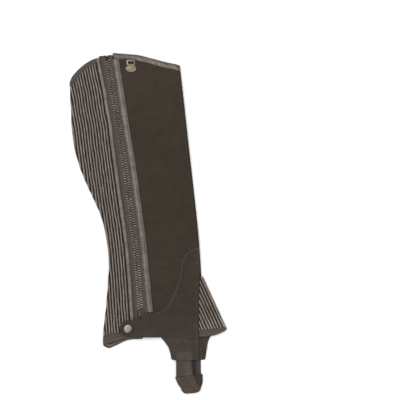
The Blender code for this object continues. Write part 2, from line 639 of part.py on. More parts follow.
suede = make_material("brown suede", (0.045, 0.037, 0.030), 0.95)
suede_worn = make_material("worn suede", (0.070, 0.060, 0.052), 0.9)
stretch_ribbed = make_material("ribbed stretch cloth", (0.130, 0.118, 0.108), 0.85)
binding_elastic = make_material("elastic binding", (0.100, 0.094, 0.086), 0.85)
binding_leather = make_material("leather binding", (0.140, 0.125, 0.115), 0.6)
piping_leather = make_material("leather piping", (0.190, 0.170, 0.160), 0.55)
zip_cloth = make_material("zip tape", (0.090, 0.080, 0.074), 0.9)
zip_metal = make_material("zip teeth and slider", (0.120, 0.110, 0.100), 0.5)
plated_metal = make_material("plated snap", (0.560, 0.540, 0.510), 0.35, 1.0)
badge_metal = make_material("pale brass badge", (0.480, 0.420, 0.320), 0.45, 1.0)
strap_elastic = make_material("strap elastic", (0.130, 0.120, 0.110), 0.85)

build_calf()
build_instep()
build_suede()
build_closure()
build_slider()
build_snap()
build_badge()
build_strap()
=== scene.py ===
"""Looks of the suede half chap, laid flat on its inner side and seen from above.

X runs across the leg, Y up it and Z up from the table. Sizes are millimetres on the laid-out
garment, as in the part's own source, and to_metres puts them in the frame.
"""

import bpy
import numpy as np
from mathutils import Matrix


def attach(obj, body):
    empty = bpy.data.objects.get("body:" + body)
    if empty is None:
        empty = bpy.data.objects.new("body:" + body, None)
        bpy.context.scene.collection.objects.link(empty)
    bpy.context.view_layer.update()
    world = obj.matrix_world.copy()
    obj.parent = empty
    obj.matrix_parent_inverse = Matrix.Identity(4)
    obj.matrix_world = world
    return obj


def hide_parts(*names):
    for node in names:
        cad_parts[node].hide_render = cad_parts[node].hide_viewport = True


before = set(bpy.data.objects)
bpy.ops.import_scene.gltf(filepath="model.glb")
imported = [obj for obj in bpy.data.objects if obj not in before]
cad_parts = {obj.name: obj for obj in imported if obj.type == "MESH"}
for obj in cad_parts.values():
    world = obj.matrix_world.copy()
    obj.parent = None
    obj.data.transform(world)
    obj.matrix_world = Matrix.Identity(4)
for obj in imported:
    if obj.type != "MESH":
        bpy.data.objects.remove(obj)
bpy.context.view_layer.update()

# Table top, light and camera. The half chap lies on a plain pale table top under one wide soft
# light, and is seen from straight above, turned a little so that the leg leans to the left.
VIEW_CENTRE = (0.0801, 0.0271)
VIEW_WIDTH = 0.600
VIEW_TURN = np.radians(-6.0)
LENS = 85.0
SENSOR = 36.0
MIDDLE_HEIGHT = 0.004
LIGHT_WIDTH = 1.6
LIGHT_POWER = 15.0
LIGHT_PLACE = (-0.75, 0.95, 1.5)
LIGHT_LEAN = (np.radians(-32.0), np.radians(-26.0), 0.0)
SKY_LIGHT = 1.04
TABLE_HALF = 4.0
TABLE_GAP = 0.0004
TABLE_DARK = (0.95, 0.95, 0.95)
TABLE_LIGHT = (0.97, 0.97, 0.97)

stage_scene = bpy.context.scene
stage_scene.view_settings.view_transform = "Standard"
camera_data = bpy.data.cameras.new("camera")
camera_data.lens = LENS
camera_data.sensor_width = SENSOR
camera = bpy.data.objects.new("camera", camera_data)
camera.location = (*VIEW_CENTRE, VIEW_WIDTH * LENS / SENSOR + MIDDLE_HEIGHT)
camera.rotation_euler = (0.0, 0.0, VIEW_TURN)
stage_scene.collection.objects.link(camera)
stage_scene.camera = camera

soft_box = bpy.data.lights.new("soft_box", "AREA")
soft_box.shape = "DISK"
soft_box.size = LIGHT_WIDTH
soft_box.energy = LIGHT_POWER
soft_lamp = bpy.data.objects.new("soft_box", soft_box)
soft_lamp.location = LIGHT_PLACE
soft_lamp.rotation_euler = LIGHT_LEAN
stage_scene.collection.objects.link(soft_lamp)
sky = bpy.data.worlds.new("studio")
sky.use_nodes = True
sky.node_tree.nodes["Background"].inputs["Color"].default_value = (1.0, 1.0, 1.0, 1.0)
sky.node_tree.nodes["Background"].inputs["Strength"].default_value = SKY_LIGHT
stage_scene.world = sky


def node(tree, kind, inputs=(), **settings):
    """Adds a shader node, with its settings, and sets or links its inputs."""
    made = tree.nodes.new("ShaderNode" + kind)
    for name, value in settings.items():
        setattr(made, name, value)
    for socket, value in dict(inputs).items():
        if isinstance(value, bpy.types.NodeSocket):
            tree.links.new(value, made.inputs[socket])
        else:
            made.inputs[socket].default_value = value
    return made


def bare_material(name, roughness, metallic=0.0, **sockets):
    """A material with its shader's constant values set on the shader's own sockets."""
    material = bpy.data.materials.new(name)
    material.use_nodes = True
    shader = material.node_tree.nodes["Principled BSDF"]
    shader.inputs["Roughness"].default_value = roughness
    shader.inputs["Metallic"].default_value = metallic
    for socket, value in sockets.items():
        shader.inputs[socket.replace("_", " ")].default_value = value
    return material, material.node_tree, shader


def mottle(tree, place, scale, detail=3.0, roughness=0.55):
    """Soft noise from 0 to 1 at a scale in lumps per metre."""
    noise = node(tree, "TexNoise", {"Vector": place, "Scale": scale, "Detail": detail,
                                    "Roughness": roughness})
    return noise.outputs["Fac"]


def paint(tree, shader, share, low, high, start=0.0, stop=1.0):
    """Base colour from low to high as share runs from start to stop, times the mesh's own tone."""
    ramp = node(tree, "ValToRGB", {"Fac": share})
    ramp.color_ramp.elements[0].color = (*low, 1.0)
    ramp.color_ramp.elements[1].color = (*high, 1.0)
    ramp.color_ramp.elements[0].position = start
    ramp.color_ramp.elements[1].position = stop
    tone = node(tree, "Attribute", attribute_name="tone").outputs["Fac"]
    toned = node(tree, "VectorMath", {"Vector": ramp.outputs["Color"], "Scale": tone}, operation="SCALE")
    tree.links.new(toned.outputs["Vector"], shader.inputs["Base Color"])


def set_tone(mesh, values):
    """How light each point of a mesh is against its material's own colour."""
    tone = mesh.attributes.new("tone", "FLOAT", "POINT")
    tone.data.foreach_set("value", np.ascontiguousarray(values, np.float32).ravel())


floor_material, tree, shader = bare_material("pale table top", 0.8, Specular_IOR_Level=0.2)
place = node(tree, "TexCoord").outputs["Object"]
paint(tree, shader, mottle(tree, place, 40.0), TABLE_DARK, TABLE_LIGHT)
corners = TABLE_HALF * np.array([(-1, -1, 0), (1, -1, 0), (1, 1, 0), (-1, 1, 0)])
floor_mesh = bpy.data.meshes.new("table_top")
floor_mesh.from_pydata(corners.tolist(), [], [(0, 1, 2, 3)])
floor_mesh.materials.append(floor_material)
set_tone(floor_mesh, np.ones(4))
floor = bpy.data.objects.new("table_top", floor_mesh)
floor.location = (0.0, 0.0, -TABLE_GAP)
stage_scene.collection.objects.link(floor)

# Inner suede panel. The side of the leg that lies on the table: one piece of dark brown suede,
# 1.8 mm thick, sewn to the stretch cloth at the back and to the outer suede along the shin.
MM = 0.001
MIDDLE = np.array([-1.74, 0.91, 0.0])
SUEDE = 1.8
SEAM = 0.3
INNER_CALF_SEAM = -29.3
TOP_BINDING = 8.6
EDGE_ROUND = 0.8
RIM_STEPS = np.array([0, 0.15, 0.4, 0.8])
INNER_INSTEP_SEAM = [
    (-182, 72.9), (-120, 70.2), (-91, 68.6), (-66, 69.3), (-46, 70.0), (120, 70.0), (262, 68.8),
]
INNER_FOOT = [(-30, -168.4), (-14, -169.9), (10, -172.4), (40, -175.2), (74, -177.4)]
SUEDE_TOP = [
    (-30, 261.4), (-15, 258.6), (10, 253.6), (30, 246.3), (50, 238.8), (64, 234.2), (68, 232.5), (71, 230.9),
]
SUEDE_DARK = (0.0218, 0.0169, 0.0118)
SUEDE_LIGHT = (0.0400, 0.0315, 0.0230)


def curve(table, at):
    """Cubic Hermite through the rows (place, value) of a table, slopes from its neighbours."""
    knots, values = np.array(table, float).T
    at = np.clip(at, knots[0], knots[-1])
    slopes = np.gradient(values, knots)
    i = np.clip(np.searchsorted(knots, at) - 1, 0, len(knots) - 2)
    span = knots[i + 1] - knots[i]
    t = (at - knots[i]) / span
    return (values[i] * (1 + 2 * t) * (1 - t) ** 2 + values[i + 1] * t * t * (3 - 2 * t)
            + span * (slopes[i] * t * (1 - t) ** 2 - slopes[i + 1] * t * t * (1 - t)))


def edge(table, shift=0.0):
    """A table's curve as a function, moved by shift."""
    return lambda at: curve(table, at) + shift


def level(value):
    """A straight edge at one place, as a function."""
    return lambda at: value + 0 * at


def drop(line, distance):
    """The line that lies distance below another: moved down by distance * sqrt(1 + slope^2)."""
    step = 0.5

    def lower(at):
        slope = (line(at + step) - line(at - step)) / (2 * step)
        return line(at) - distance * np.sqrt(1 + slope ** 2)
    return lower


def spread(length, step):
    """Shares of a length: close together at both rims, then every step."""
    inner = np.linspace(RIM_STEPS[-1], length - RIM_STEPS[-1], int(length / step) + 1)
    return np.concatenate([RIM_STEPS[:-1], inner, length - RIM_STEPS[-2::-1]]) / length


def field(left, right, foot, head, u, v):
    """Grid of points (across, up) between four edges.

    across = left(up)(1-u) + right(up)u and up = foot(across)(1-v) + head(across)v, solved by turns.
    """
    u, v = u[None, :], v[:, None]
    up = 0 * u + 0 * v
    for _ in range(40):
        across = left(up) * (1 - u) + right(up) * u
        up = foot(across) * (1 - v) + head(across) * v
    return across, up


def rim_distance(across, up):
    """Distance of each grid point to the nearest rim, summed along its row or column."""
    runs = []
    for axis in (0, 1):
        steps = np.hypot(np.diff(across, axis=axis), np.diff(up, axis=axis))
        run = np.insert(np.cumsum(steps, axis), 0, 0, axis)
        whole = run[-1:] if axis == 0 else run[:, -1:]
        runs.append(np.minimum(run, whole - run))
    return np.minimum(*runs)


def rounded(distance, reach, least=0.3):
    """1 inside, falling on a quarter circle to least at the rim: sqrt(1 - (1 - d/reach)^2)."""
    t = 1 - np.clip(distance / reach, 0, 1)
    return least + (1 - least) * np.sqrt(1 - t * t)


def to_metres(grid):
    """Points in millimetres on the garment as rows in metres in the frame."""
    return (np.reshape(grid, (-1, 3)) - MIDDLE) * MM


def grid_points(across, up, height):
    """One array of points from three that fit one grid."""
    return np.stack(np.broadcast_arrays(across, up, height), -1)


def grid_faces(rows, columns, start=0):
    """Quads of a grid of points, counter-clockwise where columns run +X and rows run +Y."""
    i, j = np.mgrid[0:rows - 1, 0:columns - 1]
    corner = start + i * columns + j
    return np.stack([corner, corner + 1, corner + columns + 1, corner + columns], -1).reshape(-1, 4)


def make_piece(name, points, faces, material, cloth_map=None, tone=1.0):
    """Puts points and faces into a smooth-shaded mesh piece that rides on the half chap.

    cloth_map, if given, holds each point's place on the flat cloth in metres, for its weave, and
    tone how light each point is against the material.
    """
    mesh = bpy.data.meshes.new(name)
    mesh.from_pydata(points.tolist(), [], faces.tolist() if hasattr(faces, "tolist") else faces)
    mesh.materials.append(material)
    mesh.shade_smooth()
    set_tone(mesh, np.broadcast_to(tone, len(points)))
    if cloth_map is not None:
        corners = np.empty(len(mesh.loops), np.int32)
        mesh.loops.foreach_get("vertex_index", corners)
        mesh.uv_layers.new(name="cloth").data.foreach_set("uv", cloth_map[corners].ravel())
    piece = bpy.data.objects.new(name, mesh)
    stage_scene.collection.objects.link(piece)
    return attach(piece, "root")


def wall(name, lower, upper, material, cloth_map=None, tone=1.0):
    """Closed wall between two equal grids of points; its four sides join the grids' rims."""
    rows, columns = lower.shape[:2]
    count = rows * columns
    place = np.arange(count).reshape(rows, columns)
    rim = np.concatenate([place[0, :-1], place[:-1, -1], place[-1, :0:-1], place[:0:-1, 0]])
    after = np.roll(rim, -1)
    sides = np.stack([rim, after, after + count, rim + count], -1)
    faces = np.concatenate([grid_faces(rows, columns)[:, ::-1], grid_faces(rows, columns, count), sides])
    points = np.concatenate([to_metres(lower), to_metres(upper)])
    if cloth_map is not None:
        flat = np.stack(np.broadcast_arrays(*cloth_map), -1).reshape(-1, 2) * MM
        cloth_map = np.concatenate([flat, flat])
    tone = np.tile(np.broadcast_to(tone, (rows, columns)).ravel(), 2)
    return make_piece(name, points, faces, material, cloth_map, tone)


def cut_piece(name, across, up, lie, thickness, material, relief=0.0, tone=1.0):
    """A cut piece of cloth: its lower face at lie, its upper face thickness above, its rim rounded."""
    rim = rounded(rim_distance(across, up), EDGE_ROUND)
    lower = grid_points(across, up, lie)
    upper = grid_points(across, up, lie + thickness * rim + relief * rim)
    return wall(name, lower, upper, material, (across, up), tone)


def maths(tree, operation, *values):
    """The result of a math node on values or sockets."""
    return node(tree, "Math", dict(enumerate(values)), operation=operation).outputs[0]


def emboss(tree, shader, height, strength, distance):
    """Bumps the shader's surface by a height pattern, over the bump that it already has."""
    bump = node(tree, "Bump", {"Height": height, "Strength": strength, "Distance": distance})
    if shader.inputs["Normal"].is_linked:
        tree.links.new(shader.inputs["Normal"].links[0].from_socket, bump.inputs["Normal"])
    tree.links.new(bump.outputs["Normal"], shader.inputs["Normal"])


def suede_finish(name, dark, light, streak=0.35):
    """Suede: faint patches a centimetre or two wide, brushed nap and fine fibres."""
    material, tree, shader = bare_material(
        name, 0.95, Sheen_Weight=0.12, Sheen_Roughness=0.45, Sheen_Tint=(0.75, 0.62, 0.50, 1.0),
        Specular_IOR_Level=0.08)
    place = node(tree, "TexCoord").outputs["Object"]
    brushed = node(tree, "Mapping", {"Vector": place, "Rotation": (0, 0, 0.35), "Scale": (0.8, 1.0, 1.0)})
    patches = mottle(tree, brushed.outputs["Vector"], 80.0, 4.0, 0.6)
    nap = mottle(tree, brushed.outputs["Vector"], 420.0, 3.0, 0.7)
    fibres = mottle(tree, place, 2600.0, 2.0, 0.6)
    broad = maths(tree, "MULTIPLY", patches, 0.5)
    both = maths(tree, "MULTIPLY_ADD", nap, streak, broad)
    grain = maths(tree, "MULTIPLY_ADD", fibres, 0.35, both)
    paint(tree, shader, grain, dark, light, 0.25, 0.75)
    emboss(tree, shader, fibres, 0.35, 0.0004)
    emboss(tree, shader, nap, 0.35, 0.0012)
    return material


suede = suede_finish("brown suede", SUEDE_DARK, SUEDE_LIGHT)
top_edge = edge(SUEDE_TOP)
under_binding = drop(top_edge, TOP_BINDING + SEAM)
inner_left = level(INNER_CALF_SEAM + SEAM)
across, up = field(inner_left, edge(INNER_INSTEP_SEAM), edge(INNER_FOOT), under_binding,
                   spread(100, 3.0), spread(415, 4.0))
inner_suede = cut_piece("inner_suede", across, up, 0.0, SUEDE, suede)
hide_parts("inner_panel")

# Calf gusset. Ribbed stretch cloth that wraps the back of the leg, from the zip round the calf fold to the
# inner suede. Its ribs are raised cords, painted light on top as a highlight, with painted shade in the
# grooves between them.
STRETCH = 1.7
RIB_RISE = 0.95
CALF_RIB = 4.15
CALF_RIBS = 14
RIB_COLUMNS = 9
HOLLOW = 1.4
REAR_PIPING = 5.5
CALF_START = REAR_PIPING / 2 + SEAM
RIB_SHIFT = 0.8
RIB_CREST_PAINTED_LIGHT = (0.215, 0.178, 0.153)
RIB_GROOVE_PAINTED_SHADE = (0.016, 0.012, 0.009)
KNIT_ROW = 0.9
KNIT_STITCH = 1.6
MOST_RIBS = 40
CLOSURE_COLUMNS = ("up", "rear_piping", "zip", "front_piping")
CLOSURE = [
    (-180, -42.6, -28.6, -15.0),
    (-132, -41.7, -27.9, -14.6),
    (-82, -39.8, -26.2, -14.1),
    (-22, -38.9, -25.4, -13.9),
    (38, -41.1, -26.8, -15.6),
    (100, -43.0, -29.0, -17.8),
    (130, -43.9, -30.3, -19.7),
    (156, -44.2, -31.7, -21.1),
    (180, -46.3, -33.2, -22.4),
    (206, -47.4, -34.8, -23.6),
    (227, -49.7, -36.2, -24.6),
    (262, -52.8, -37.8, -26.4),
]
CALF_FOLD = [
    (-182, -89.4), (-165, -88.2), (-145, -84.8), (-118, -78.8), (-83, -72.3), (-56, -67.9), (-38, -66.6),
    (-10, -68.0), (20, -71.9), (44, -79.5), (73, -89.4), (101, -96.9), (128, -101.0), (146, -101.9),
    (180, -100.2), (218, -98.1), (262, -96.0),
]
# The lines where the two bands begin on the flat pattern: distance from the rear piping, up.
CALF_TOP_LINE = [
    (0, 249.3), (7, 247.2), (14, 244.3), (21, 240.4), (28, 235.7), (33, 231.6), (37, 227.4), (40, 224.0),
    (43, 221.2), (46, 219.2), (49.4, 217.5), (53, 219.2), (56, 221.2), (59, 224.0), (62, 227.4),
    (66, 231.6), (70, 235.3), (77, 240.6), (84, 244.3), (98, 249.4), (125, 251.5),
]
CALF_HEM_HEAD = [
    (0, -158.8), (15, -157.8), (24, -157.4), (39, -158.1), (47, -159.5), (55, -161.0), (62, -161.6),
    (84, -161.0), (107, -161.5), (125, -161.5),
]


def closure(name, shift=0.0):
    """One of the closure's centre lines as a function of the height up the leg."""
    column = CLOSURE_COLUMNS.index(name)
    return edge([(row[0], row[column]) for row in CLOSURE], shift)


calf_fold = edge(CALF_FOLD)


def folded(path, up, height, fold, side, hollow):
    """Stretch cloth laid round a folded edge: a half circle between two level runs.

    path is the distance along the cloth from the fold's crest, positive on the upper layer, and
    height is measured out from the cloth's inner face. side is the way the fold points.
    """
    middle_radius = hollow / 2 + STRETCH / 2
    angle = np.clip(path / middle_radius, -np.pi / 2, np.pi / 2)
    run = np.abs(path - angle * middle_radius)
    radius = hollow / 2 + height
    centre = fold(up) - side * (hollow / 2 + STRETCH)
    across = centre + side * (radius * np.cos(angle) - run)
    raised = STRETCH + hollow / 2 + radius * np.sin(angle)
    return grid_points(across, up, raised)


def upper_share(path, hollow, turn=75.0):
    """1 on the upper layer, easing to 0 towards the fold's crest: t^2 (3 - 2t)."""
    t = np.clip(path / (hollow / 2 + STRETCH / 2) / np.radians(turn) + 0.35, 0, 1)
    return t * t * (3 - 2 * t)


def near(place, middle, width, power=2):
    """1 at a middle, fading to 0 on both sides of it: exp(-((place - middle) / width)^power)."""
    return np.exp(-((place - middle) / width) ** power)


def calf_path(distance, up):
    """Path round the calf fold for a distance from the rear piping."""
    turn = calf_fold(up) + HOLLOW / 2 + STRETCH
    return closure("rear_piping")(up) - turn + np.pi / 4 * (HOLLOW + STRETCH) - distance


def calf_width(up):
    """Distance from the rear piping to the inner seam, along the cloth."""
    turn = calf_fold(up) + HOLLOW / 2 + STRETCH
    return closure("rear_piping")(up) + INNER_CALF_SEAM - 2 * turn + np.pi / 2 * (HOLLOW + STRETCH)


def calf_layer(foot, head, v):
    """Distance from the rear piping, height up the leg and path round the fold on a grid.

    The first columns keep their distance from the piping, as the ribs do; the rest share out
    the width that is left to the inner seam.
    """
    ribbed = CALF_START + np.arange(CALF_RIBS * RIB_COLUMNS + 1) * CALF_RIB / RIB_COLUMNS
    plain = np.linspace(0, 1, 15)[1:]
    distance = np.concatenate([ribbed, np.full(len(plain), ribbed[-1])])[None, :]
    share = np.concatenate([np.zeros(len(ribbed)), plain])[None, :]
    v = v[:, None]
    up = 0 * distance + 0 * v
    for _ in range(20):
        along = distance + share * (calf_width(up) - distance)
        up = foot(along) * (1 - v) + head(along) * v
    return along, up, calf_path(along, up)


def drift(rng, count, places, reach):
    """Slow uneven waves, one per row: sums of four sines with seeded phases, from -1 to 1."""
    waves = rng.uniform(0.5, 2.2, (4, count, 1)) / reach
    phases = rng.uniform(0, 2 * np.pi, (4, count, 1))
    return np.sin(2 * np.pi * waves * places[None, None, :] + phases).sum(0) / 4


def ribbing(distance, up, pitch, start, seed):
    """Ribs as rounded cords that lean, swell and lighten a little along their length.

    Gives each point's distance as its swaying cord sees it, its height from 0 to 1 and its tone.
    """
    rng = np.random.default_rng(seed)
    places = up[:, up.shape[1] // 2]
    rows = np.arange(len(places))[:, None]
    number = np.clip(((distance - start) / pitch).astype(int) + 1, 0, MOST_RIBS - 1)
    number = np.broadcast_to(number, up.shape)
    sway = drift(rng, MOST_RIBS, places, 60.0)[number, rows]
    swell = drift(rng, MOST_RIBS, places, 26.0)[number, rows]
    fleck = drift(rng, MOST_RIBS, places, 7.0)[number, rows]
    own = rng.uniform(-1, 1, MOST_RIBS)[number]
    seen = distance + 0.45 * sway
    crest = 0.5 - 0.5 * np.cos(2 * np.pi * (seen - start) / pitch)
    return seen, crest ** 1.15 * (0.92 + 0.10 * swell), 1 + 0.14 * own + 0.22 * swell + 0.22 * fleck


def ribbed_finish(name, pitch, start):
    """Ribbed stretch cloth: a painted highlight on the cords and painted shade in the grooves, with fine knit
    stitches across each cord.
    """
    material, tree, shader = bare_material(
        name, 0.78, Sheen_Weight=0.08, Sheen_Roughness=0.4, Specular_IOR_Level=0.15)
    cloth = node(tree, "UVMap", uv_map="cloth").outputs["UV"]
    apart = node(tree, "SeparateXYZ", {"Vector": cloth})
    turns = 2 * np.pi / (pitch * MM)
    phase = maths(tree, "MULTIPLY_ADD", apart.outputs["X"], turns, -start * MM * turns)
    lift = maths(tree, "MULTIPLY_ADD", maths(tree, "COSINE", phase), -0.5, 0.5)
    wear_and_shade = node(tree, "Mapping", {"Vector": cloth, "Scale": (1.0, 0.10, 1.0)})
    uneven = mottle(tree, wear_and_shade.outputs["Vector"], 700.0, 3.0, 0.65)
    speck = mottle(tree, cloth, 900.0, 2.0, 0.6)
    tone = maths(tree, "MULTIPLY_ADD", uneven, 0.5, lift)
    tone = maths(tree, "MULTIPLY_ADD", speck, 0.25, tone)
    # The cords' crests are painted light as a highlight and the grooves dark as shade, from the cosine of the
    # place across.
    paint(tree, shader, maths(tree, "SUBTRACT", tone, 0.375), RIB_GROOVE_PAINTED_SHADE, RIB_CREST_PAINTED_LIGHT, 0.30, 0.98)
    rows = maths(tree, "MULTIPLY", apart.outputs["Y"], 2 * np.pi / (KNIT_ROW * MM))
    lean = maths(tree, "MULTIPLY_ADD", apart.outputs["X"], 2 * np.pi / (KNIT_STITCH * MM), rows)
    knit = maths(tree, "MULTIPLY_ADD", maths(tree, "SINE", lean), 0.5, speck)
    emboss(tree, shader, knit, 0.5, 0.00025)
    return material


ribbed_calf = ribbed_finish("ribbed stretch cloth, calf", CALF_RIB, CALF_START + RIB_SHIFT)
gusset_foot = edge(CALF_HEM_HEAD, 0.1)
gusset_head = edge(CALF_TOP_LINE, -0.1)
v = np.interp(np.arange(261), (0, 60, 90, 190, 260), (0, 0.25, 0.42, 0.70, 1))
distance, up, path = calf_layer(gusset_foot, gusset_head, v)
seen, crest, wear_and_shade = ribbing(distance, up, CALF_RIB, CALF_START + RIB_SHIFT, 3)
ribs = RIB_RISE * crest * upper_share(path, HOLLOW)
wear_and_shade = wear_and_shade * (0.935 + 0.16 * near(up, -152, 22))
lower = folded(path, up, 0.0, calf_fold, -1, HOLLOW)
upper = folded(path, up, STRETCH + ribs, calf_fold, -1, HOLLOW)
calf_ribbing = wall("calf_ribbing", lower, upper, ribbed_calf, (seen, up), wear_and_shade)
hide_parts("calf_gusset")

# Elastic binding on the stretch cloth's top edge, and the elastic hem at its foot. Each is a
# woven band folded over the raw edge and sewn through, so it stands a little over the cloth.
BOUND_RISE = 0.6
BOUND_WIDTH = 7.0
ELASTIC_DARK = (0.040, 0.0318, 0.0263)
ELASTIC_LIGHT = (0.105, 0.0845, 0.0705)
# The cloth's raw edges, which the bands are folded over, in the rows of the two lines above.
CALF_TOP_CUT = [
    (0, 256.6), (14, 252.0), (28, 244.2), (38.5, 236.0), (44.0, 230.6), (46.6, 226.3), (49.4, 221.3),
    (52.2, 226.3), (54.8, 230.6), (60.5, 236.0), (70, 244.2), (84, 252.0), (98, 256.6), (125, 258.5),
]
CALF_HEM_CUT = [
    (0, -167.6), (15, -167.4), (24, -169.6), (34, -171.4), (42, -173.0), (47, -175.0), (51, -177.4),
    (55, -178.9), (62, -177.0), (84, -169.8), (107, -170.6), (125, -170.6),
]
# How light the bands are from their lower to their upper line. The calf hem's back layer shows under the
# front one's edge: painted shade along the front layer's rim and under it, between the two, then a light line
# near the back layer's own edge, which is dark again.
BOUND_TONE = [(0, 0.86), (0.5, 0.80), (0.82, 0.74), (0.93, 0.58), (1, 0.48)]
HEM_TONE = [(0, 0.30), (0.05, 0.50), (0.12, 0.84), (0.3, 0.92), (0.5, 0.78), (0.85, 0.80), (1, 0.60)]
HEM_BACK_TONE = [(0, 0.30), (0.09, 0.45), (0.15, 1.60), (0.20, 3.00), (0.27, 0.90), (0.36, 0.30), (1, 0.30)]


def elastic_finish(name, dark, light, across_pitch, along_pitch, relief=0.00018):
    """Woven elastic: rows of rubber cords under a fine weave, both from the place on the cloth."""
    material, tree, shader = bare_material(
        name, 0.8, Sheen_Weight=0.1, Sheen_Roughness=0.5, Specular_IOR_Level=0.25)
    cloth = node(tree, "UVMap", uv_map="cloth").outputs["UV"]
    apart = node(tree, "SeparateXYZ", {"Vector": cloth})
    cords = maths(tree, "MULTIPLY", apart.outputs["X"], 2 * np.pi / (across_pitch * MM))
    picks = maths(tree, "MULTIPLY", apart.outputs["Y"], 2 * np.pi / (along_pitch * MM))
    weave = maths(tree, "MULTIPLY", maths(tree, "SINE", cords), maths(tree, "SINE", picks))
    height = maths(tree, "MULTIPLY_ADD", weave, 0.22, mottle(tree, cloth, 500.0, 3.0, 0.65))
    paint(tree, shader, height, dark, light, 0.25, 0.75)
    emboss(tree, shader, height, 0.6, relief)
    return material


def bound_height(to_rim, share):
    """Height of a folded band from its rim, 0, to its inner line, 1: a low arch with a seam in it."""
    swell = BOUND_RISE * np.sqrt(np.clip(1 - (2 * to_rim - 1) ** 4, 0, 1)) * share
    seam_line = 0.25 * near(to_rim, 0.82, 0.05) * share
    tuck = STRETCH * 0.35 * (1 - rounded(to_rim * BOUND_WIDTH, 1.2, 0.0))
    return STRETCH + swell - seam_line - tuck


def bound_edge(name, foot, head, rim_at_head, material, front_tone, back_tone):
    """A band of elastic folded over the stretch cloth's edge between two lines of the flat pattern."""
    v = np.concatenate([[0, 0.02, 0.06], np.linspace(0.12, 0.88, 8), [0.94, 0.98, 1]])
    distance, up, path = calf_layer(foot, head, v)
    to_rim = (1 - v if rim_at_head else v)[:, None]
    front = upper_share(path, HOLLOW)
    lower = folded(path, up, -0.2, calf_fold, -1, HOLLOW)
    upper = folded(path, up, bound_height(to_rim, front), calf_fold, -1, HOLLOW)
    tone = curve(front_tone, v)[:, None] * front + curve(back_tone, v)[:, None] * (1 - front)
    return wall(name, lower, upper, material, (distance, up), tone)


fine_elastic = elastic_finish("fine elastic binding", ELASTIC_DARK, ELASTIC_LIGHT, 1.1, 0.8)
top_bound = bound_edge("calf_top_elastic", edge(CALF_TOP_LINE), edge(CALF_TOP_CUT), True, fine_elastic,
                       BOUND_TONE, BOUND_TONE)
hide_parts("calf_top_binding")
calf_bound = bound_edge("calf_hem_elastic", edge(CALF_HEM_CUT), edge(CALF_HEM_HEAD), False,
                        fine_elastic, HEM_TONE, HEM_BACK_TONE)
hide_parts("calf_hem")

# Instep gusset. A small wedge of the same ribbed cloth over the instep, folded along its front
# edge and sewn into the shin seam, with its own elastic hem.
INSTEP_HOLLOW = 0.6
INSTEP_RIB = 4.65
INSTEP_POINT = (67.1, -76.4)
INSTEP_SLANT = 0.337
INSTEP_HEAD = -87.0
INSTEP_HEM_HEAD = -165.6
LEG_FOOT = -182.0
INSTEP_FOOT = [(50, -176.8), (70, -176.8), (80, -175.4), (90, -172.4), (95, -170.4), (98, -166.5)]
SHIN = [
    (-182, 55.0), (-151, 58.2), (-121, 61.4), (-91, 65.6), (-66, 68.9), (-46, 70.0), (40, 70.2), (120, 70.0),
    (200, 69.6), (262, 68.8),
]


def instep_fold(up):
    """The gusset's folded edge, straight down from its point."""
    return INSTEP_POINT[0] + INSTEP_SLANT * (INSTEP_POINT[1] - up)


ribbed_instep = ribbed_finish("ribbed stretch cloth, instep", INSTEP_RIB, 0.0)
turn = INSTEP_HOLLOW / 2 + STRETCH
quarter = np.pi / 4 * (INSTEP_HOLLOW + STRETCH)
levels = np.linspace(LEG_FOOT, INSTEP_HEAD, 300)
upper_run = instep_fold(levels) - turn - curve(SHIN, levels) - 0.1 + quarter
lower_run = instep_fold(levels) - turn - curve(INNER_INSTEP_SEAM, levels) - SEAM + quarter
above_hem = INSTEP_HEM_HEAD + 1.2
widest = [np.interp(above_hem, levels, run) for run in (upper_run, lower_run)]
# Each column keeps its path from the fold's crest and ends above where its seam runs out.
upper_path = np.append(np.arange(upper_run[-1], widest[0] - 0.2, INSTEP_RIB / RIB_COLUMNS), widest[0])
lower_path = -np.append(np.arange(lower_run[-1], widest[1] - 0.5, 1.7), widest[1])
crest_path = np.linspace(lower_path[0], upper_path[0], 12)[1:-1]
path = np.concatenate([lower_path[::-1], crest_path, upper_path])[None, :]
head = np.where(path > 0, np.interp(path, upper_run[::-1], levels[::-1]),
                np.interp(-path, lower_run[::-1], levels[::-1]))
v = np.linspace(0, 1, 70)[:, None]
up = (INSTEP_HEM_HEAD - 0.2) * (1 - v) + head * v
seen, crest, wear_and_shade = ribbing(path + 0 * up, up, INSTEP_RIB, 0.0, 7)
ribs = RIB_RISE * 0.8 * crest * upper_share(path, INSTEP_HOLLOW)
wear_and_shade = wear_and_shade * (1 + 0.35 * near(up, INSTEP_HEM_HEAD, 14))
lower = folded(path, up, 0.0, instep_fold, 1, INSTEP_HOLLOW)
upper = folded(path, up, STRETCH + ribs, instep_fold, 1, INSTEP_HOLLOW)
instep_ribbing = wall("instep_ribbing", lower, upper, ribbed_instep, (seen, up), wear_and_shade)
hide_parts("instep_gusset")

# The hem widens downwards, so that its ends stay on the two seams.
v = np.concatenate([[0, 0.03, 0.08], np.linspace(0.15, 0.88, 7), [0.94, 0.98, 1]])[:, None]
up = INSTEP_HEM_HEAD + 0 * (path + v)
narrow = path
for _ in range(8):
    reach = np.where(narrow > 0, np.interp(up, levels, upper_run) / widest[0],
                     np.interp(up, levels, lower_run) / widest[1])
    path = narrow * reach
    foot = curve(INSTEP_FOOT, instep_fold(INSTEP_HEM_HEAD) - np.abs(path))
    up = foot * (1 - v) + INSTEP_HEM_HEAD * v
raised = bound_height(v, upper_share(path, INSTEP_HOLLOW))
lower = folded(path, up, -0.15, instep_fold, 1, INSTEP_HOLLOW)
upper = folded(path, up, raised, instep_fold, 1, INSTEP_HOLLOW)
# The instep hem takes the same tones: painted shade at its rim.
instep_bound = wall("instep_hem_elastic", lower, upper, fine_elastic, (path, up), curve(HEM_TONE, v))
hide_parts("instep_hem")

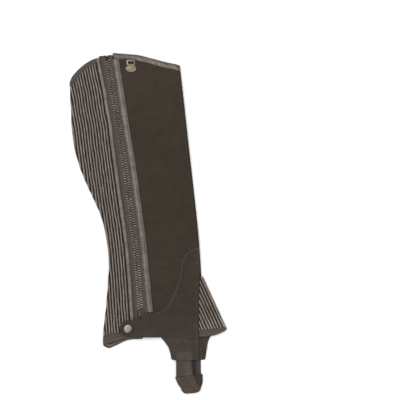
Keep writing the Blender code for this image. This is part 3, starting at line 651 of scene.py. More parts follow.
# Zip. Two woven tapes with moulded plastic teeth that close down the outside of the leg; its
# lower end runs on under the ankle tab.
UPPER = STRETCH + HOLLOW
TAPE_LIE = UPPER + SEAM
ZIP_TAPE = 0.8
TAPE_ENDS = (-168.0, 258.4)
TAPE_DARK = (0.0300, 0.0230, 0.0190)
TAPE_LIGHT = (0.0840, 0.0655, 0.0555)
TEETH_DARK = (0.070, 0.0540, 0.0440)
TEETH_LIGHT = (0.205, 0.162, 0.136)
TOOTH_PITCH = 3.7
TOOTH_COLUMN = 2.3
TEETH_ENDS = (-125.6, 252.0)
TOOTH_CORE = (1.75, 1.05, 1.3)
TOOTH_HEAD = (1.5, 0.72, 0.75)
FRONT_PIPING = (4.3, 5.4)


def tube_faces(rings, turns, closed=False, back=False):
    """Quads from ring to ring of a tube, and from the last to the first if closed; back turns them round."""
    i, j = np.mgrid[0:rings if closed else rings - 1, 0:turns]
    beyond = (i + 1) % rings
    after = (j + 1) % turns
    corners = [i * turns + j, i * turns + after, beyond * turns + after, beyond * turns + j]
    quads = np.stack(corners, -1).reshape(-1, 4)
    return quads[:, [0, 3, 2, 1]] if back else quads


def fan_faces(start, turns, pole, back=False):
    """Triangles from a ring that begins at start to a pole; back turns them round."""
    around = start + np.arange(turns)
    pair = [np.roll(around, -1), around] if back else [around, np.roll(around, -1)]
    return np.stack([*pair, np.full(turns, pole)], -1)


def superellipsoid(half, squareness, turns=12, bands=7):
    """Closed rounded block about the origin: each axis is half * sign(c) |c|^(2/squareness)."""
    power = 2 / squareness
    longitude = np.linspace(0, 2 * np.pi, turns, endpoint=False)[None, :]
    latitude = np.linspace(-np.pi / 2, np.pi / 2, bands + 2)[1:-1, None]

    def eased(value):
        return np.sign(value) * np.abs(value) ** power
    ring = grid_points(half[0] * eased(np.cos(latitude)) * eased(np.cos(longitude)),
                       half[1] * eased(np.cos(latitude)) * eased(np.sin(longitude)),
                       half[2] * eased(np.sin(latitude))).reshape(-1, 3)
    poles = np.array([(0, 0, -half[2]), (0, 0, half[2])])
    count = bands * turns
    fans = np.concatenate([fan_faces(0, turns, count, back=True), fan_faces(count - turns, turns, count + 1)])
    faces = np.concatenate([tube_faces(bands, turns), fans[:, [0, 1, 2, 2]]])
    return np.concatenate([ring, poles]), faces


def repeated(points, faces, centres, tangents):
    """Copies of a small shape at each centre, its Y turned along each tangent, as points and faces."""
    along = tangents / np.linalg.norm(tangents, axis=1, keepdims=True)
    lift = np.tile([0.0, 0.0, 1.0], (len(centres), 1))
    side = np.cross(along, lift)
    side /= np.linalg.norm(side, axis=1, keepdims=True)
    lift = np.cross(side, along)
    turned = (points[None, :, :1] * side[:, None] + points[None, :, 1:2] * along[:, None]
              + points[None, :, 2:] * lift[:, None]) + centres[:, None]
    offsets = np.arange(len(centres))[:, None, None] * len(points)
    return turned.reshape(-1, 3), (faces[None] + offsets).reshape(-1, 4)


def plain_faces(faces):
    """Drops a face's repeated last corner, so that quads with one become triangles."""
    return [face[:3] if face[2] == face[3] else face for face in faces.tolist()]


def merged(*shapes):
    """Points and faces of several shapes as one list each."""
    starts = np.cumsum([0] + [len(points) for points, _ in shapes[:-1]])
    return (np.concatenate([points for points, _ in shapes]),
            np.concatenate([faces + start for start, (_, faces) in zip(starts, shapes)]))


zip_weave = elastic_finish("woven zip tape", TAPE_DARK, TAPE_LIGHT, 1.0, 1.4, 0.0002)
# How light the tapes are from the middle of the teeth outwards: painted shade in the teeth's gaps and beside
# the pipings.
TAPE_PAINTED_SHADE = [(0, 0.30), (2.4, 0.34), (3.8, 0.80), (5.2, 1.05), (7.5, 0.98), (9.5, 0.75), (12, 0.60)]
for name, left, right in (
        ("zip_tape_rear", closure("rear_piping", REAR_PIPING / 2 - 0.3), closure("zip", -1.0)),
        ("zip_tape_front", closure("zip", 1.0), closure("front_piping", 0.3 - FRONT_PIPING[0]))):
    across, up = field(left, right, level(TAPE_ENDS[0]), level(TAPE_ENDS[1]), spread(9.5, 0.8),
                       spread(426, 2.5))
    to_teeth = np.abs(across - closure("zip")(up))
    cord = 0.35 * near(to_teeth, 4.6, 0.5)
    rib = 0.06 * np.sin(2 * np.pi * to_teeth / 1.5)
    # The tapes carry painted shade by the teeth and beside the pipings.
    tape = cut_piece(name.replace("tape", "webbing"), across, up, TAPE_LIE, ZIP_TAPE, zip_weave, cord + rib,
                     curve(TAPE_PAINTED_SHADE, to_teeth))
    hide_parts(name)

teeth_plastic, tree, shader = bare_material("moulded zip teeth", 0.42, Specular_IOR_Level=0.5)
place = node(tree, "TexCoord").outputs["Object"]
paint(tree, shader, mottle(tree, place, 260.0), TEETH_DARK, TEETH_LIGHT, 0.32, 0.68)
emboss(tree, shader, mottle(tree, place, 3000.0), 0.2, 0.0001)

# How light the teeth are along the zip: rubbed brightest near the foot and at one place above it, and darker
# with painted shade where the cloth beside them shades them.
TEETH_TONE = [
    (-130, 1.45), (-116, 1.45), (-104, 1.25), (-82, 1.28), (-71, 1.42), (-62, 1.05), (-34, 1.06), (3, 0.92),
    (27, 0.98), (38, 1.38), (44, 0.95), (51, 0.60), (58, 0.90), (75, 1.06), (100, 1.08), (124, 0.78),
    (148, 0.86), (160, 0.76), (196, 1.06), (208, 0.76), (220, 0.93), (250, 0.88),
]
core, core_faces = superellipsoid(TOOTH_CORE, 3.2)
tooth_head, tooth_head_faces = superellipsoid(TOOTH_HEAD, 2.6, 10, 5)
columns = []
for side in (-1, 1):
    up = np.arange(TEETH_ENDS[0] + 1.0 + (side > 0) * TOOTH_PITCH / 2, TEETH_ENDS[1], TOOTH_PITCH)
    across = closure("zip")(up)
    slope = closure("zip")(up + 1) - closure("zip")(up - 1)
    tangents = np.stack([slope, 0 * up + 2, 0 * up], -1)
    middle = np.stack([across, up, 0 * up + TAPE_LIE + ZIP_TAPE / 2], -1)
    square = np.stack([0 * up + 2, -slope, 0 * up], -1) / np.hypot(2, slope)[:, None]
    columns.append(repeated(core, core_faces, middle + side * (TOOTH_COLUMN + 0.25) * square, tangents))
    columns.append(repeated(tooth_head, tooth_head_faces, middle + side * 0.75 * square, tangents))
points, faces = merged(*columns)
zip_teeth = make_piece("zip_teeth", to_metres(points), plain_faces(faces), teeth_plastic,
                       tone=curve(TEETH_TONE, points[:, 1]))
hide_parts("zip_chain")

# Slider and pull. A painted metal slider stands at the foot of the closed zip, with a bright worn
# crown; its pull is tucked down between the tapes and the ankle tab.
SLIDER_FOOT = TEETH_ENDS[0] - 7.0
SLIDER_LEAN = np.radians(-1.5)
# The slider's blocks: half sizes, squareness, how far the foot draws in, and their middle: the
# lower plate, the upper plate, the post between them and the upper plate's two side walls.
SLIDER_BLOCKS = [
    ((4.7, 6.5, 0.75), 6.0, 0.22, (0, 0, 0.1)), ((5.4, 6.7, 0.70), 5.0, 0.26, (0, 0, 1.95)),
    ((1.6, 5.2, 1.30), 4.0, 0.0, (0, 0, 1.0)),
    ((0.45, 6.0, 1.0), 4.0, 0.0, (-4.4, 0.4, 1.2)), ((0.45, 6.0, 1.0), 4.0, 0.0, (4.4, 0.4, 1.2)),
]
# The crown is a flat bar bent into a low arch over the upper plate.
CROWN_HALF = (0.75, 0.45)
CROWN_REACH = 3.4
CROWN_LIE = 2.2
CROWN_RISE = 1.25
CROWN_SHIFT = (1.3, 0.6)
PULL_HALF = (3.2, 11.0, 0.55)
PULL_MIDDLE = (-1.0, -18.4, 0.95)
PAINT_DARK = (0.0165, 0.0130, 0.0105)
PAINT_LIGHT = (0.072, 0.060, 0.051)
WORN_DARK = (0.070, 0.060, 0.052)
WORN_LIGHT = (0.250, 0.228, 0.208)


def vary_roughness(tree, shader, share, low, high):
    """Roughness from low to high with a share from 0 to 1."""
    mapped = node(tree, "MapRange", {"Value": share, "To Min": low, "To Max": high})
    tree.links.new(mapped.outputs["Result"], shader.inputs["Roughness"])


slider_paint, tree, shader = bare_material("dark painted metal", 0.38, 0.55)
place = node(tree, "TexCoord").outputs["Object"]
chips = mottle(tree, place, 900.0, 4.0, 0.7)
wear_and_shade = node(tree, "NewGeometry").outputs["Pointiness"]
rubbed = maths(tree, "MULTIPLY_ADD", wear_and_shade, 3.0, chips)
share = node(tree, "MapRange", {"Value": rubbed, "From Min": 1.95, "From Max": 2.35})
paint(tree, shader, share.outputs["Result"], PAINT_DARK, PAINT_LIGHT)
vary_roughness(tree, shader, chips, 0.3, 0.55)


def level_turn(angle):
    """Matrix that turns points about Z."""
    c, s = np.cos(angle), np.sin(angle)
    return np.array([(c, -s, 0), (s, c, 0), (0, 0, 1)])


def leaned(shape, centre):
    """A small shape turned by the slider's lean and moved to its centre."""
    points, faces = shape
    return points @ level_turn(SLIDER_LEAN).T + np.array(centre), faces


def slab(half, squareness=6.0, waist=0.0, turns=40, bands=13):
    """A superellipsoid block whose sides draw in towards its foot by waist."""
    points, faces = superellipsoid(half, squareness, turns, bands)
    points[:, 0] *= 1 - waist * np.clip(0.5 - points[:, 1] / half[1] / 2, 0, 1) ** 1.5
    return points, faces


at = closure("zip")(SLIDER_FOOT)
plates = [leaned(slab(half, squareness, waist), (at + across, SLIDER_FOOT + up, UPPER + height))
          for half, squareness, waist, (across, up, height) in SLIDER_BLOCKS]
# The crown's middle line is (-reach cos t, rise sin(t)^0.6), and its bar is a flat ellipse.
along = np.linspace(0, np.pi, 25)
bridge_line = grid_points(at - CROWN_SHIFT[0], SLIDER_FOOT + CROWN_SHIFT[1] - CROWN_REACH * np.cos(along),
                          UPPER + CROWN_LIE + CROWN_RISE * np.sin(along) ** 0.6)
angle = np.linspace(0, 2 * np.pi, 16, endpoint=False)
bridge_tangent = np.gradient(bridge_line, axis=0)
bridge_tangent /= np.linalg.norm(bridge_tangent, axis=1, keepdims=True)
bridge_side = np.array([1.0, 0.0, 0.0])
bridge_up = np.cross(bridge_side, bridge_tangent)
ring = (bridge_line[:, None] + CROWN_HALF[0] * np.cos(angle)[None, :, None] * bridge_side
        + CROWN_HALF[1] * np.sin(angle)[None, :, None] * bridge_up[:, None])
points, faces = merged(*plates)
# The slider body is painted lighter towards its right side.
lighter_to_right = np.interp(points[:, 0] - at, (-3.5, -0.5, 3.0), (0.75, 1.0, 1.7))
slider_body = make_piece("slider_body", to_metres(points), plain_faces(faces), slider_paint, tone=lighter_to_right)
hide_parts("zip_slider")
worn_metal, tree, shader = bare_material("worn bright metal", 0.32, 0.9)
place = node(tree, "TexCoord").outputs["Object"]
paint(tree, shader, mottle(tree, place, 700.0, 4.0, 0.7), WORN_DARK, WORN_LIGHT, 0.3, 0.6)
rings, turns = len(along), len(angle)
crown_ends = [list(range(turns)), list(range((rings - 1) * turns, rings * turns))[::-1]]
crown_faces = tube_faces(rings, turns)[:, ::-1].tolist() + crown_ends
slider_crown = make_piece("slider_crown", to_metres(ring), crown_faces, worn_metal)
pull_middle = np.array([at, SLIDER_FOOT, TAPE_LIE + ZIP_TAPE]) + PULL_MIDDLE
points, faces = leaned(slab(PULL_HALF, 5.0), pull_middle)
zip_pull = make_piece("slider_pull", to_metres(points), plain_faces(faces), slider_paint)
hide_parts("zip_pull")

# Leather pipings. Two strips of smooth grey-brown leather cover the zip tapes' sewn edges: a
# rounded one beside the stretch cloth, and a wider one with a sewn flange beside the suede.
PIPING_RISE = 2.7
FRONT_WIDTH = FRONT_PIPING[0] + FRONT_PIPING[1]
REAR_ENDS = (-166.5, 256.0)
FRONT_FOOT = -132.1
LEATHER_DARK = (0.108, 0.0835, 0.0670)
LEATHER_LIGHT = (0.206, 0.1635, 0.1350)


def leather_finish(name, dark, light, roughness=0.5):
    """Smooth leather: fine pebbled grain, soft tone changes and a satin surface."""
    material, tree, shader = bare_material(name, roughness, Specular_IOR_Level=0.45, Coat_Weight=0.06,
                                           Coat_Roughness=0.35)
    place = node(tree, "TexCoord").outputs["Object"]
    tone = mottle(tree, place, 110.0, 4.0, 0.6)
    pebbles = node(tree, "TexVoronoi", {"Vector": place, "Scale": 1900.0}, feature="SMOOTH_F1")
    grain = maths(tree, "MULTIPLY_ADD", pebbles.outputs["Distance"], -0.35, tone)
    paint(tree, shader, grain, dark, light, 0.12, 0.55)
    vary_roughness(tree, shader, tone, roughness + 0.12, roughness - 0.12)
    emboss(tree, shader, pebbles.outputs["Distance"], 0.3, 0.0002)
    return material


def raised_strip(name, left, right, foot, head, rise, u, material, tone, seed):
    """A strip between two edges, flat below; rise gives its top's height from the shares u and up."""
    v = spread(max(head(0.0) - foot(0.0), 20.0), 2.0)
    across, up = field(left, right, foot, head, u, v)
    end = rounded(np.minimum(up - up[:1], up[-1:] - up), 1.2, 0.3)
    lower = grid_points(across, up, UPPER)
    upper = grid_points(across, up, UPPER + rise(u[None, :], up) * end)
    wear = 1 + uneven(up, seed, 11.0, 0.20) + uneven(up, seed + 1, 45.0, 0.14)
    return wall(name, lower, upper, material, (across, up), tone * (wear + uneven(up, seed + 2, 4.0, 0.10)))


def uneven(up, seed, reach, depth):
    """Slow uneven swelling along a strip, in millimetres."""
    waves = drift(np.random.default_rng(seed), 1, np.ravel(up[:, 0]), reach)[0]
    return depth * waves[:, None]


def rear_rise(u, up):
    """A low round ridge, steeper at its sides: 1 - |2u - 1|^2.6."""
    bow = 1 - np.abs(2 * u - 1) ** 2.6
    return PIPING_RISE * (0.35 + 0.65 * bow) + uneven(up, 11, 40.0, 0.12) * bow


def front_rise(u, up):
    """A round ridge over the first two thirds, a sewn groove, then a lower flange."""
    place = u * FRONT_WIDTH
    lip = np.sqrt(np.clip(1 - ((place - 1.0) / 1.2) ** 4, 0, 1))
    ridge = np.sqrt(np.clip(1 - ((place - 4.4) / 2.7) ** 2, 0, 1))
    flange = np.sqrt(np.clip(1 - ((place - 8.2) / 1.5) ** 4, 0, 1))
    return 0.9 + 0.5 * lip + 1.8 * ridge ** 0.8 + 0.9 * flange + uneven(up, 12, 40.0, 0.12) * ridge


# How light each strip is over its width: a painted highlight on the ridge, painted shade in the sewn groove
# and at the rims.
REAR_PAINTED_SHADING = [(0, 0.58), (0.75, 0.74), (1.6, 0.84), (2.75, 0.78), (3.9, 0.92), (4.75, 0.82), (5.5, 0.48)]
FRONT_PAINTED_SHADING = [(0, 0.33), (1.2, 0.35), (2.2, 0.54), (3.4, 0.80), (5.0, 0.82), (6.3, 0.60), (7.2, 0.46),
              (8.2, 0.60), (9.0, 0.48), (9.7, 0.32)]
smooth_leather = leather_finish("smooth piping leather", LEATHER_DARK, LEATHER_LIGHT)
fine_shares = 0.5 - 0.5 * np.cos(np.linspace(0, np.pi, 25))
rear_tone = curve(REAR_PAINTED_SHADING, REAR_PIPING * fine_shares)
rear_strip = raised_strip("rear_piping_leather", closure("rear_piping", -REAR_PIPING / 2),
                          closure("rear_piping", REAR_PIPING / 2), level(REAR_ENDS[0]), level(REAR_ENDS[1]),
                          rear_rise, fine_shares, smooth_leather, rear_tone, 21)
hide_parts("rear_piping")
front_shares = np.linspace(0, 1, 41)
front_tone = curve(FRONT_PAINTED_SHADING, FRONT_WIDTH * front_shares)
front_strip = raised_strip("front_piping_leather", closure("front_piping", -FRONT_PIPING[0]),
                           closure("front_piping", FRONT_PIPING[1]), level(FRONT_FOOT), under_binding,
                           front_rise, front_shares, smooth_leather, front_tone, 23)
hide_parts("front_piping")

# Outer suede panel. The side of the leg that shows: dark brown suede from the front piping to the
# shin, top-stitched inside the shin seam, with a few soft creases from being folded and handled.
PANEL_LIE = [(-12, 3.1), (20, 3.1), (45, 2.7), (62, 2.25), (71, 2.1)]
ANKLE_SEAM = [
    (-10, -132.5), (1.3, -131.8), (7.3, -129.6), (13.1, -124.6), (18.1, -117.9), (23.1, -110.0),
    (28.3, -101.0), (32.5, -90.9), (36.4, -80.8), (39.0, -71.0), (41.6, -62.5), (45.0, -55.2),
    (49.6, -49.4), (55.2, -45.8), (61.8, -43.6), (71, -42.8),
]
# One row for each crease: middle across and up, length, degrees from level, width, rise.
PANEL_CREASES = [
    (38, 177, 14, 8, 2.2, -0.30), (41, 209, 24, -16, 3.5, 0.22), (12, 196, 30, 72, 6.0, 0.25),
    (30, 150, 40, 62, 8.0, 0.30), (3, 134, 26, 80, 5.0, -0.20), (24, 112, 30, 18, 5.0, -0.22),
    (50, 92, 36, 84, 6.0, 0.25), (28, 48, 20, 3, 3.0, -0.25), (6, 30, 34, 86, 7.0, 0.22),
    (44, 8, 22, -12, 4.0, 0.20), (34, -22, 24, 5, 3.0, -0.25), (19, -64, 40, -10, 2.4, -0.26),
    (-2, -58, 30, 84, 5.0, 0.20), (10, -96, 26, 30, 5.0, 0.22),
]
# Thin lines rubbed lighter on the crests of old folds, in the same rows, with lightness for rise.
PANEL_RUBS = [
    (7, -58.2, 22, -6, 0.8, 0.26), (20, -63.8, 40, -10, 0.9, 0.34), (11, -77.6, 12, -10, 0.8, 0.24),
    (38, 179.5, 14, 8, 0.9, 0.20), (28, 50.5, 20, 3, 0.9, 0.16), (35, 211.5, 18, -14, 1.2, 0.16),
    (46, 168, 16, 70, 1.2, 0.14), (22, 138, 18, 55, 1.4, 0.14), (52, 120, 22, 82, 1.6, 0.12),
]
STITCH = 3.2
STITCH_LIFT = 0.16
STITCH_SINK = 0.42
SHIN_STITCH_INSET = 4.5
SHIN_STITCHED = (-44.0, 228.0)
THREAD_DARK = (0.034, 0.027, 0.021)
THREAD_LIGHT = (0.078, 0.063, 0.051)


def creases(rows, across, up):
    """Sum of soft ridges and troughs: rise * exp(-(d/width)^2) * exp(-(run/half length)^4)."""
    total = 0.0 * (across + up)
    for middle_across, middle_up, length, lean, width, rise in rows:
        turn = np.radians(lean)
        run = (across - middle_across) * np.cos(turn) + (up - middle_up) * np.sin(turn)
        bow = 0.06 * run ** 2 / length
        off = (up - middle_up) * np.cos(turn) - (across - middle_across) * np.sin(turn) + bow
        total = total + rise * near(off, 0, width) * near(run, 0, length / 2, 4)
    return total


def panel_top(across, up):
    """Height of the outer suede's upper face."""
    return curve(PANEL_LIE, across) + SUEDE + creases(PANEL_CREASES, across, up)


def seam(name, line, height, material, pitch=STITCH, radius=0.30, length=0.80):
    """Lock stitches along a line: spindles with their ends dipped into the cloth.

    Each stitch is a ring of radius sqrt(1 - t^2) at t from -1 to 1 along it, sunk by t^4.
    """
    steps = np.hypot(*np.diff(line, axis=0).T)
    run = np.concatenate([[0], np.cumsum(steps)])
    count = max(int(run[-1] / pitch), 1)
    middle = (np.arange(count) + 0.5) * run[-1] / count
    t = np.array([-0.97, -0.6, 0.0, 0.6, 0.97])
    angle = np.linspace(0, 2 * np.pi, 6, endpoint=False)
    places = middle[:, None] + t[None, :] * pitch * length / 2
    axis = np.stack([np.interp(places, run, line[:, k]) for k in (0, 1)], -1)
    tangent = np.stack([np.interp(places + 0.2, run, line[:, k]) - np.interp(places - 0.2, run, line[:, k])
                        for k in (0, 1)], -1)
    tangent /= np.maximum(np.linalg.norm(tangent, axis=-1, keepdims=True), 1e-9)
    lift = height(axis[..., 0], axis[..., 1]) + STITCH_LIFT - STITCH_SINK * t ** 4
    bulk = radius * np.sqrt(1 - t ** 2)[None, :, None]
    across = axis[..., :1] - tangent[..., 1:] * bulk * np.cos(angle)
    up = axis[..., 1:] + tangent[..., :1] * bulk * np.cos(angle)
    raised = lift[..., None] + 0.8 * bulk * np.sin(angle)
    points = grid_points(across, up, raised)
    turns, rings = len(angle), len(t)
    offsets = (np.arange(count) * turns * rings)[:, None, None]
    quads = (tube_faces(rings, turns, back=True) + offsets).reshape(-1, 4).tolist()
    first = (np.arange(turns)[None] + offsets[:, 0]).tolist()
    last = (np.arange(turns)[::-1][None] + (rings - 1) * turns + offsets[:, 0]).tolist()
    return make_piece(name, to_metres(points), quads + first + last, material)


across, up = field(closure("front_piping", FRONT_PIPING[1] + 0.05), edge(SHIN), edge(ANKLE_SEAM),
                   under_binding, spread(85, 0.85), spread(300, 1.4))
to_shin = curve(SHIN, up) - across
to_piping = across - across[:, :1]
stitch_dip = -0.30 * near(to_shin, SHIN_STITCH_INSET, 0.7)
# The panel is lighter near its top and a little lighter round 80 mm below the middle.
tone_by_height = 1.0 + 0.12 * near(up, 225, 60) + 0.05 * near(up, -80, 50)
# Painted shade along the shin edge, where the suede turns down, and a faint painted shadow beside the front
# piping.
painted_edge_shade = (1 - 0.30 * near(to_shin, 0, 1.8)) * (1 - 0.04 * near(to_piping, 0, 2.5))
rubbed = 1 + creases(PANEL_RUBS, across, up)
outer_suede = cut_piece("outer_suede", across, up, curve(PANEL_LIE, across), SUEDE, suede,
                        creases(PANEL_CREASES, across, up) + stitch_dip, tone_by_height * painted_edge_shade * rubbed)
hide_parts("outer_panel")

thread, tree, shader = bare_material("waxed thread", 0.6, Specular_IOR_Level=0.4)
place = node(tree, "TexCoord").outputs["Object"]
paint(tree, shader, mottle(tree, place, 500.0), THREAD_DARK, THREAD_LIGHT, 0.35, 0.65)
twist = node(tree, "TexWave", {"Vector": place, "Scale": 900.0, "Distortion": 1.0})
emboss(tree, shader, twist.outputs["Fac"], 0.4, 0.0001)
heights = np.linspace(*SHIN_STITCHED, 300)
shin_line = np.stack([curve(SHIN, heights) - SHIN_STITCH_INSET, heights], -1)
shin_stitches = seam("shin_stitches", shin_line, lambda a, u: panel_top(a, u) - 0.30, thread)

# Leather bindings. Strips of the same smooth leather are folded over the suede's two top edges
# and sewn through near their lower side.
BINDING_START = -28.4
BINDING_LIE = 2.4
BINDING_RISE = 3.0
INNER_BINDING = 2.0
PIPING_STITCHED = (-129, 247)
# How light the leather is from its lower edge, 0, to the fold on top, 1: by the zip and elsewhere. Both
# darken towards the fold as painted shade where the leather turns over, and by the zip the sewn groove is
# painted dark as shade.
ZIP_END_TONE = [(0, 0.98), (0.07, 0.92), (0.16, 0.36), (0.27, 0.56), (0.46, 0.80), (0.70, 0.36), (0.88, 0.28),
                (1, 0.36)]
BINDING_TONE = [(0, 0.72), (0.07, 1.00), (0.16, 1.04), (0.27, 1.02), (0.50, 0.68), (0.74, 0.37), (0.88, 0.32),
                (1, 0.42)]


def edge_line(line, places):
    """Points (across, up) of an edge that gives up from across."""
    return np.stack([places, line(places)], -1)


binding_leather = leather_finish("smooth binding leather", LEATHER_DARK, LEATHER_LIGHT)
v = np.concatenate([[0, 0.03, 0.08], np.linspace(0.14, 0.86, 18), [0.92, 0.97, 1]])
# Each strip's top is a bow, 1 - |2v - 1|^3.2, with the sewn groove pressed in near its lower side.
for name, stands_for, left, lie, rise in (
        ("outer_binding_leather", "outer_top_binding", level(BINDING_START), BINDING_LIE, BINDING_RISE),
        ("inner_binding_leather", "inner_top_binding", inner_left, 0.0, INNER_BINDING)):
    across, up = field(left, edge(SHIN), drop(top_edge, TOP_BINDING), top_edge, spread(102, 1.0), v)
    bow = np.clip(1 - np.abs(2 * v - 1) ** 3.2, 0, 1)[:, None]
    groove = 0.40 * near(v, 0.17, 0.05)[:, None]
    ends = rounded(np.minimum(across - across[:, :1], across[:, -1:] - across), 1.0, 0.3)
    wave = 0.10 * np.sin(across / 3.1 + 1.7 * np.sin(across / 11.0))
    top = lie + rise * (0.45 + 0.55 * bow) * ends - groove + wave * bow
    lower = grid_points(across, up, lie)
    upper = grid_points(across, up, top)
    by_zip = 1 / (1 + np.exp((across - 5) / 2.5))
    wear_and_shade = curve(ZIP_END_TONE, v)[:, None] * by_zip + curve(BINDING_TONE, v)[:, None] * (1 - by_zip)
    # Painted shade at the strip's left end, where it folds under, and at its rounded right corner.
    wear_and_shade = wear_and_shade * (1 - 0.55 * near(across, BINDING_START, 2.4, 4))
    wear_and_shade = wear_and_shade * (1 - 0.72 * near(across, 69.5, 4.4, 4))
    patchy = np.sin(across / 1.9 + 2.0 * np.sin(across / 6.5) + 3.0 * v[:, None])
    wear_and_shade = wear_and_shade * (1 + 0.16 * patchy + 0.12 * np.sin(across / 5.3 + 5.0 * v[:, None] ** 2))
    piece = wall(name, lower, upper, binding_leather, (across, up), wear_and_shade)
    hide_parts(stands_for)

binding_line = edge_line(drop(top_edge, TOP_BINDING * 0.83), np.linspace(-26.5, 66.5, 160))
binding_stitches = seam("binding_stitches", binding_line,
                        lambda a, u: 0 * a + BINDING_LIE + BINDING_RISE * 0.83 - 0.3, thread)
heights = np.linspace(*PIPING_STITCHED, 300)
piping_line = np.stack([closure("front_piping", 1.95)(heights), heights], -1)
piping_stitches = seam("piping_stitches", piping_line, lambda a, u: 0 * a + UPPER + 1.35, thread)

# Ankle band and tab. One suede piece is lapped over the foot of the leg panel and double-stitched
# along its edge; its tab runs back over the zip's lower end to the snap.
TAB_TOP = [(-50, -139.6), (-34, -140.4), (-28, -138.9), (-20, -133.5), (-10, -132.5)]
BAND_FOOT = [
    (-62, -165.0), (-48, -165.3), (-27, -168.0), (-1.5, -171.0), (15, -172.6), (56, -178.2), (60, -178.6),
]
BAND_LIE = [
    (-62, 7.5), (-48, 7.6), (-40, 7.3), (-30, 6.4), (-20, 6.0), (-12, 4.3), (-4, 3.1), (40, 2.8),
    (62, 2.25), (71, 2.1),
]
SNAP = (-48.7, -152.2)
TAB_ROUND = 12.8
TAB_ROOT = -10.0
BAND_LONG = 131.0
SEAM_INSETS = (1.4, 3.6)
STITCH_INSET = 2.4
BAND_DARK = (0.0207, 0.0160, 0.0120)
BAND_LIGHT = (0.0417, 0.0330, 0.0258)
BAND_CREASES = [
    (-28, -153, 22, 82, 3.0, 0.30), (-20, -150, 26, 86, 2.6, -0.25), (-7, -150, 34, 88, 4.0, 0.35),
    (6, -152, 26, 84, 4.0, -0.20), (30, -150, 34, 20, 6.0, 0.28), (46, -120, 46, 74, 6.0, -0.26),
    (55, -90, 50, 80, 5.0, 0.28), (38, -168, 30, -6, 3.0, -0.22), (24, -132, 22, -30, 4.0, 0.20),
]


def beside(line, distance):
    """A line of (across, up) points moved sideways, to the left of the way it runs."""
    run = np.gradient(line, axis=0)
    run /= np.linalg.norm(run, axis=1, keepdims=True)
    return line + distance * np.stack([-run[:, 1], run[:, 0]], -1)


def band_head(at):
    """The band's upper edge; at the tab's round end it comes down by R (1 - sqrt(1 - (d / R)^2))."""
    reach = np.clip((SNAP[0] - at) / TAB_ROUND, 0, 0.999)
    tab = curve(TAB_TOP, at) - (1 - np.sqrt(1 - reach ** 2)) * TAB_ROUND
    return np.where(at < TAB_ROOT, tab - 0.1, curve(ANKLE_SEAM, at) + 0.2)


def band_foot(at):
    """The band's lower edge, which comes up by as much at the tab's round end."""
    reach = np.clip((SNAP[0] - at) / TAB_ROUND, 0, 0.999)
    return curve(BAND_FOOT, at) + (1 - np.sqrt(1 - reach ** 2)) * TAB_ROUND


tip = SNAP[0] - TAB_ROUND * 0.995
round_end = 1 - np.cos(np.linspace(0, np.pi / 2, 16))
end_share = TAB_ROUND / BAND_LONG
rest = end_share + (1 - end_share) * spread(BAND_LONG - TAB_ROUND, 0.9)[len(RIM_STEPS) - 1:]
band_shares = np.concatenate([round_end * end_share, rest])
across, up = field(level(tip), edge(SHIN), band_foot, band_head, band_shares, spread(90, 0.9))
slant = np.hypot(1, (band_head(across + 0.5) - band_head(across - 0.5)))
to_seam = np.where(across > TAB_ROOT + 4, (band_head(across) - up) / slant, 99.0)
lap = 0.45 * near(to_seam, 0, 3.0, 4)
to_foot = np.where(across > -4, up - band_foot(across), 99.0)
wear_and_shade = (1 + 0.60 * near(to_seam, 0.7, 1.5)) * (1 + 0.42 * near(to_foot, 0, 1.3))
wear_and_shade = wear_and_shade * (1.15 + 0.15 * near(across, -30, 18) - 0.10 * np.clip((up + 150) / 20, 0, 1))
wear_and_shade = wear_and_shade * (1 - 0.34 * near(np.hypot(across - SNAP[0], up - SNAP[1]), 7.4, 1.1))
to_side = curve(SHIN, up) - across
# Painted shade along the shin edge, where the suede turns down, with a lighter strip just inside it.
wear_and_shade = wear_and_shade * (1 - 0.12 * near(to_side, 0, 1.0) + 0.16 * near(to_side, 4.0, 2.6))
rubbed_band = suede_finish("ankle suede", BAND_DARK, BAND_LIGHT)
ankle_suede = cut_piece("ankle_suede", across, up, curve(BAND_LIE, across), SUEDE, rubbed_band,
                        creases(BAND_CREASES, across, up) + lap, wear_and_shade)
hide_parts("ankle_band")


def band_top(across, up):
    """Height of the ankle band's upper face."""
    return curve(BAND_LIE, across) + SUEDE + creases(BAND_CREASES, across, up)


seam_line = edge_line(lambda at: curve(ANKLE_SEAM, at), np.linspace(-7.0, 66.0, 400))
for number, inset in enumerate(SEAM_INSETS):
    line = beside(seam_line, -inset)
    seam(f"ankle_seam_{number + 1}", line, lambda a, u: band_top(a, u) + 0.35, thread)
foot_line = beside(edge_line(edge(BAND_FOOT), np.linspace(-40.0, 53.0, 200)), STITCH_INSET)
seam("ankle_foot_stitches", foot_line, band_top, thread)
turn = np.linspace(np.pi / 2, 3 * np.pi / 2, 60)
end_reach = TAB_ROUND - STITCH_INSET
end_line = np.stack([SNAP[0] + end_reach * np.cos(turn), SNAP[1] - 0.2 + end_reach * np.sin(turn)], -1)
head_line = beside(edge_line(edge(TAB_TOP), np.linspace(-46.0, -12.0, 80)), -STITCH_INSET)
seam("tab_end_stitches", end_line, band_top, thread)
seam("tab_head_stitches", head_line, band_top, thread)

# Snap. A plated press stud: its domed cap is riveted over the tab, and the stud that it closes on
# stands on the stretch cloth beneath.
SNAP_RADIUS = 6.25
STUD_RADIUS = 4.6
PLATE_DARK = (0.180, 0.163, 0.148)
PLATE_LIGHT = (0.365, 0.333, 0.306)


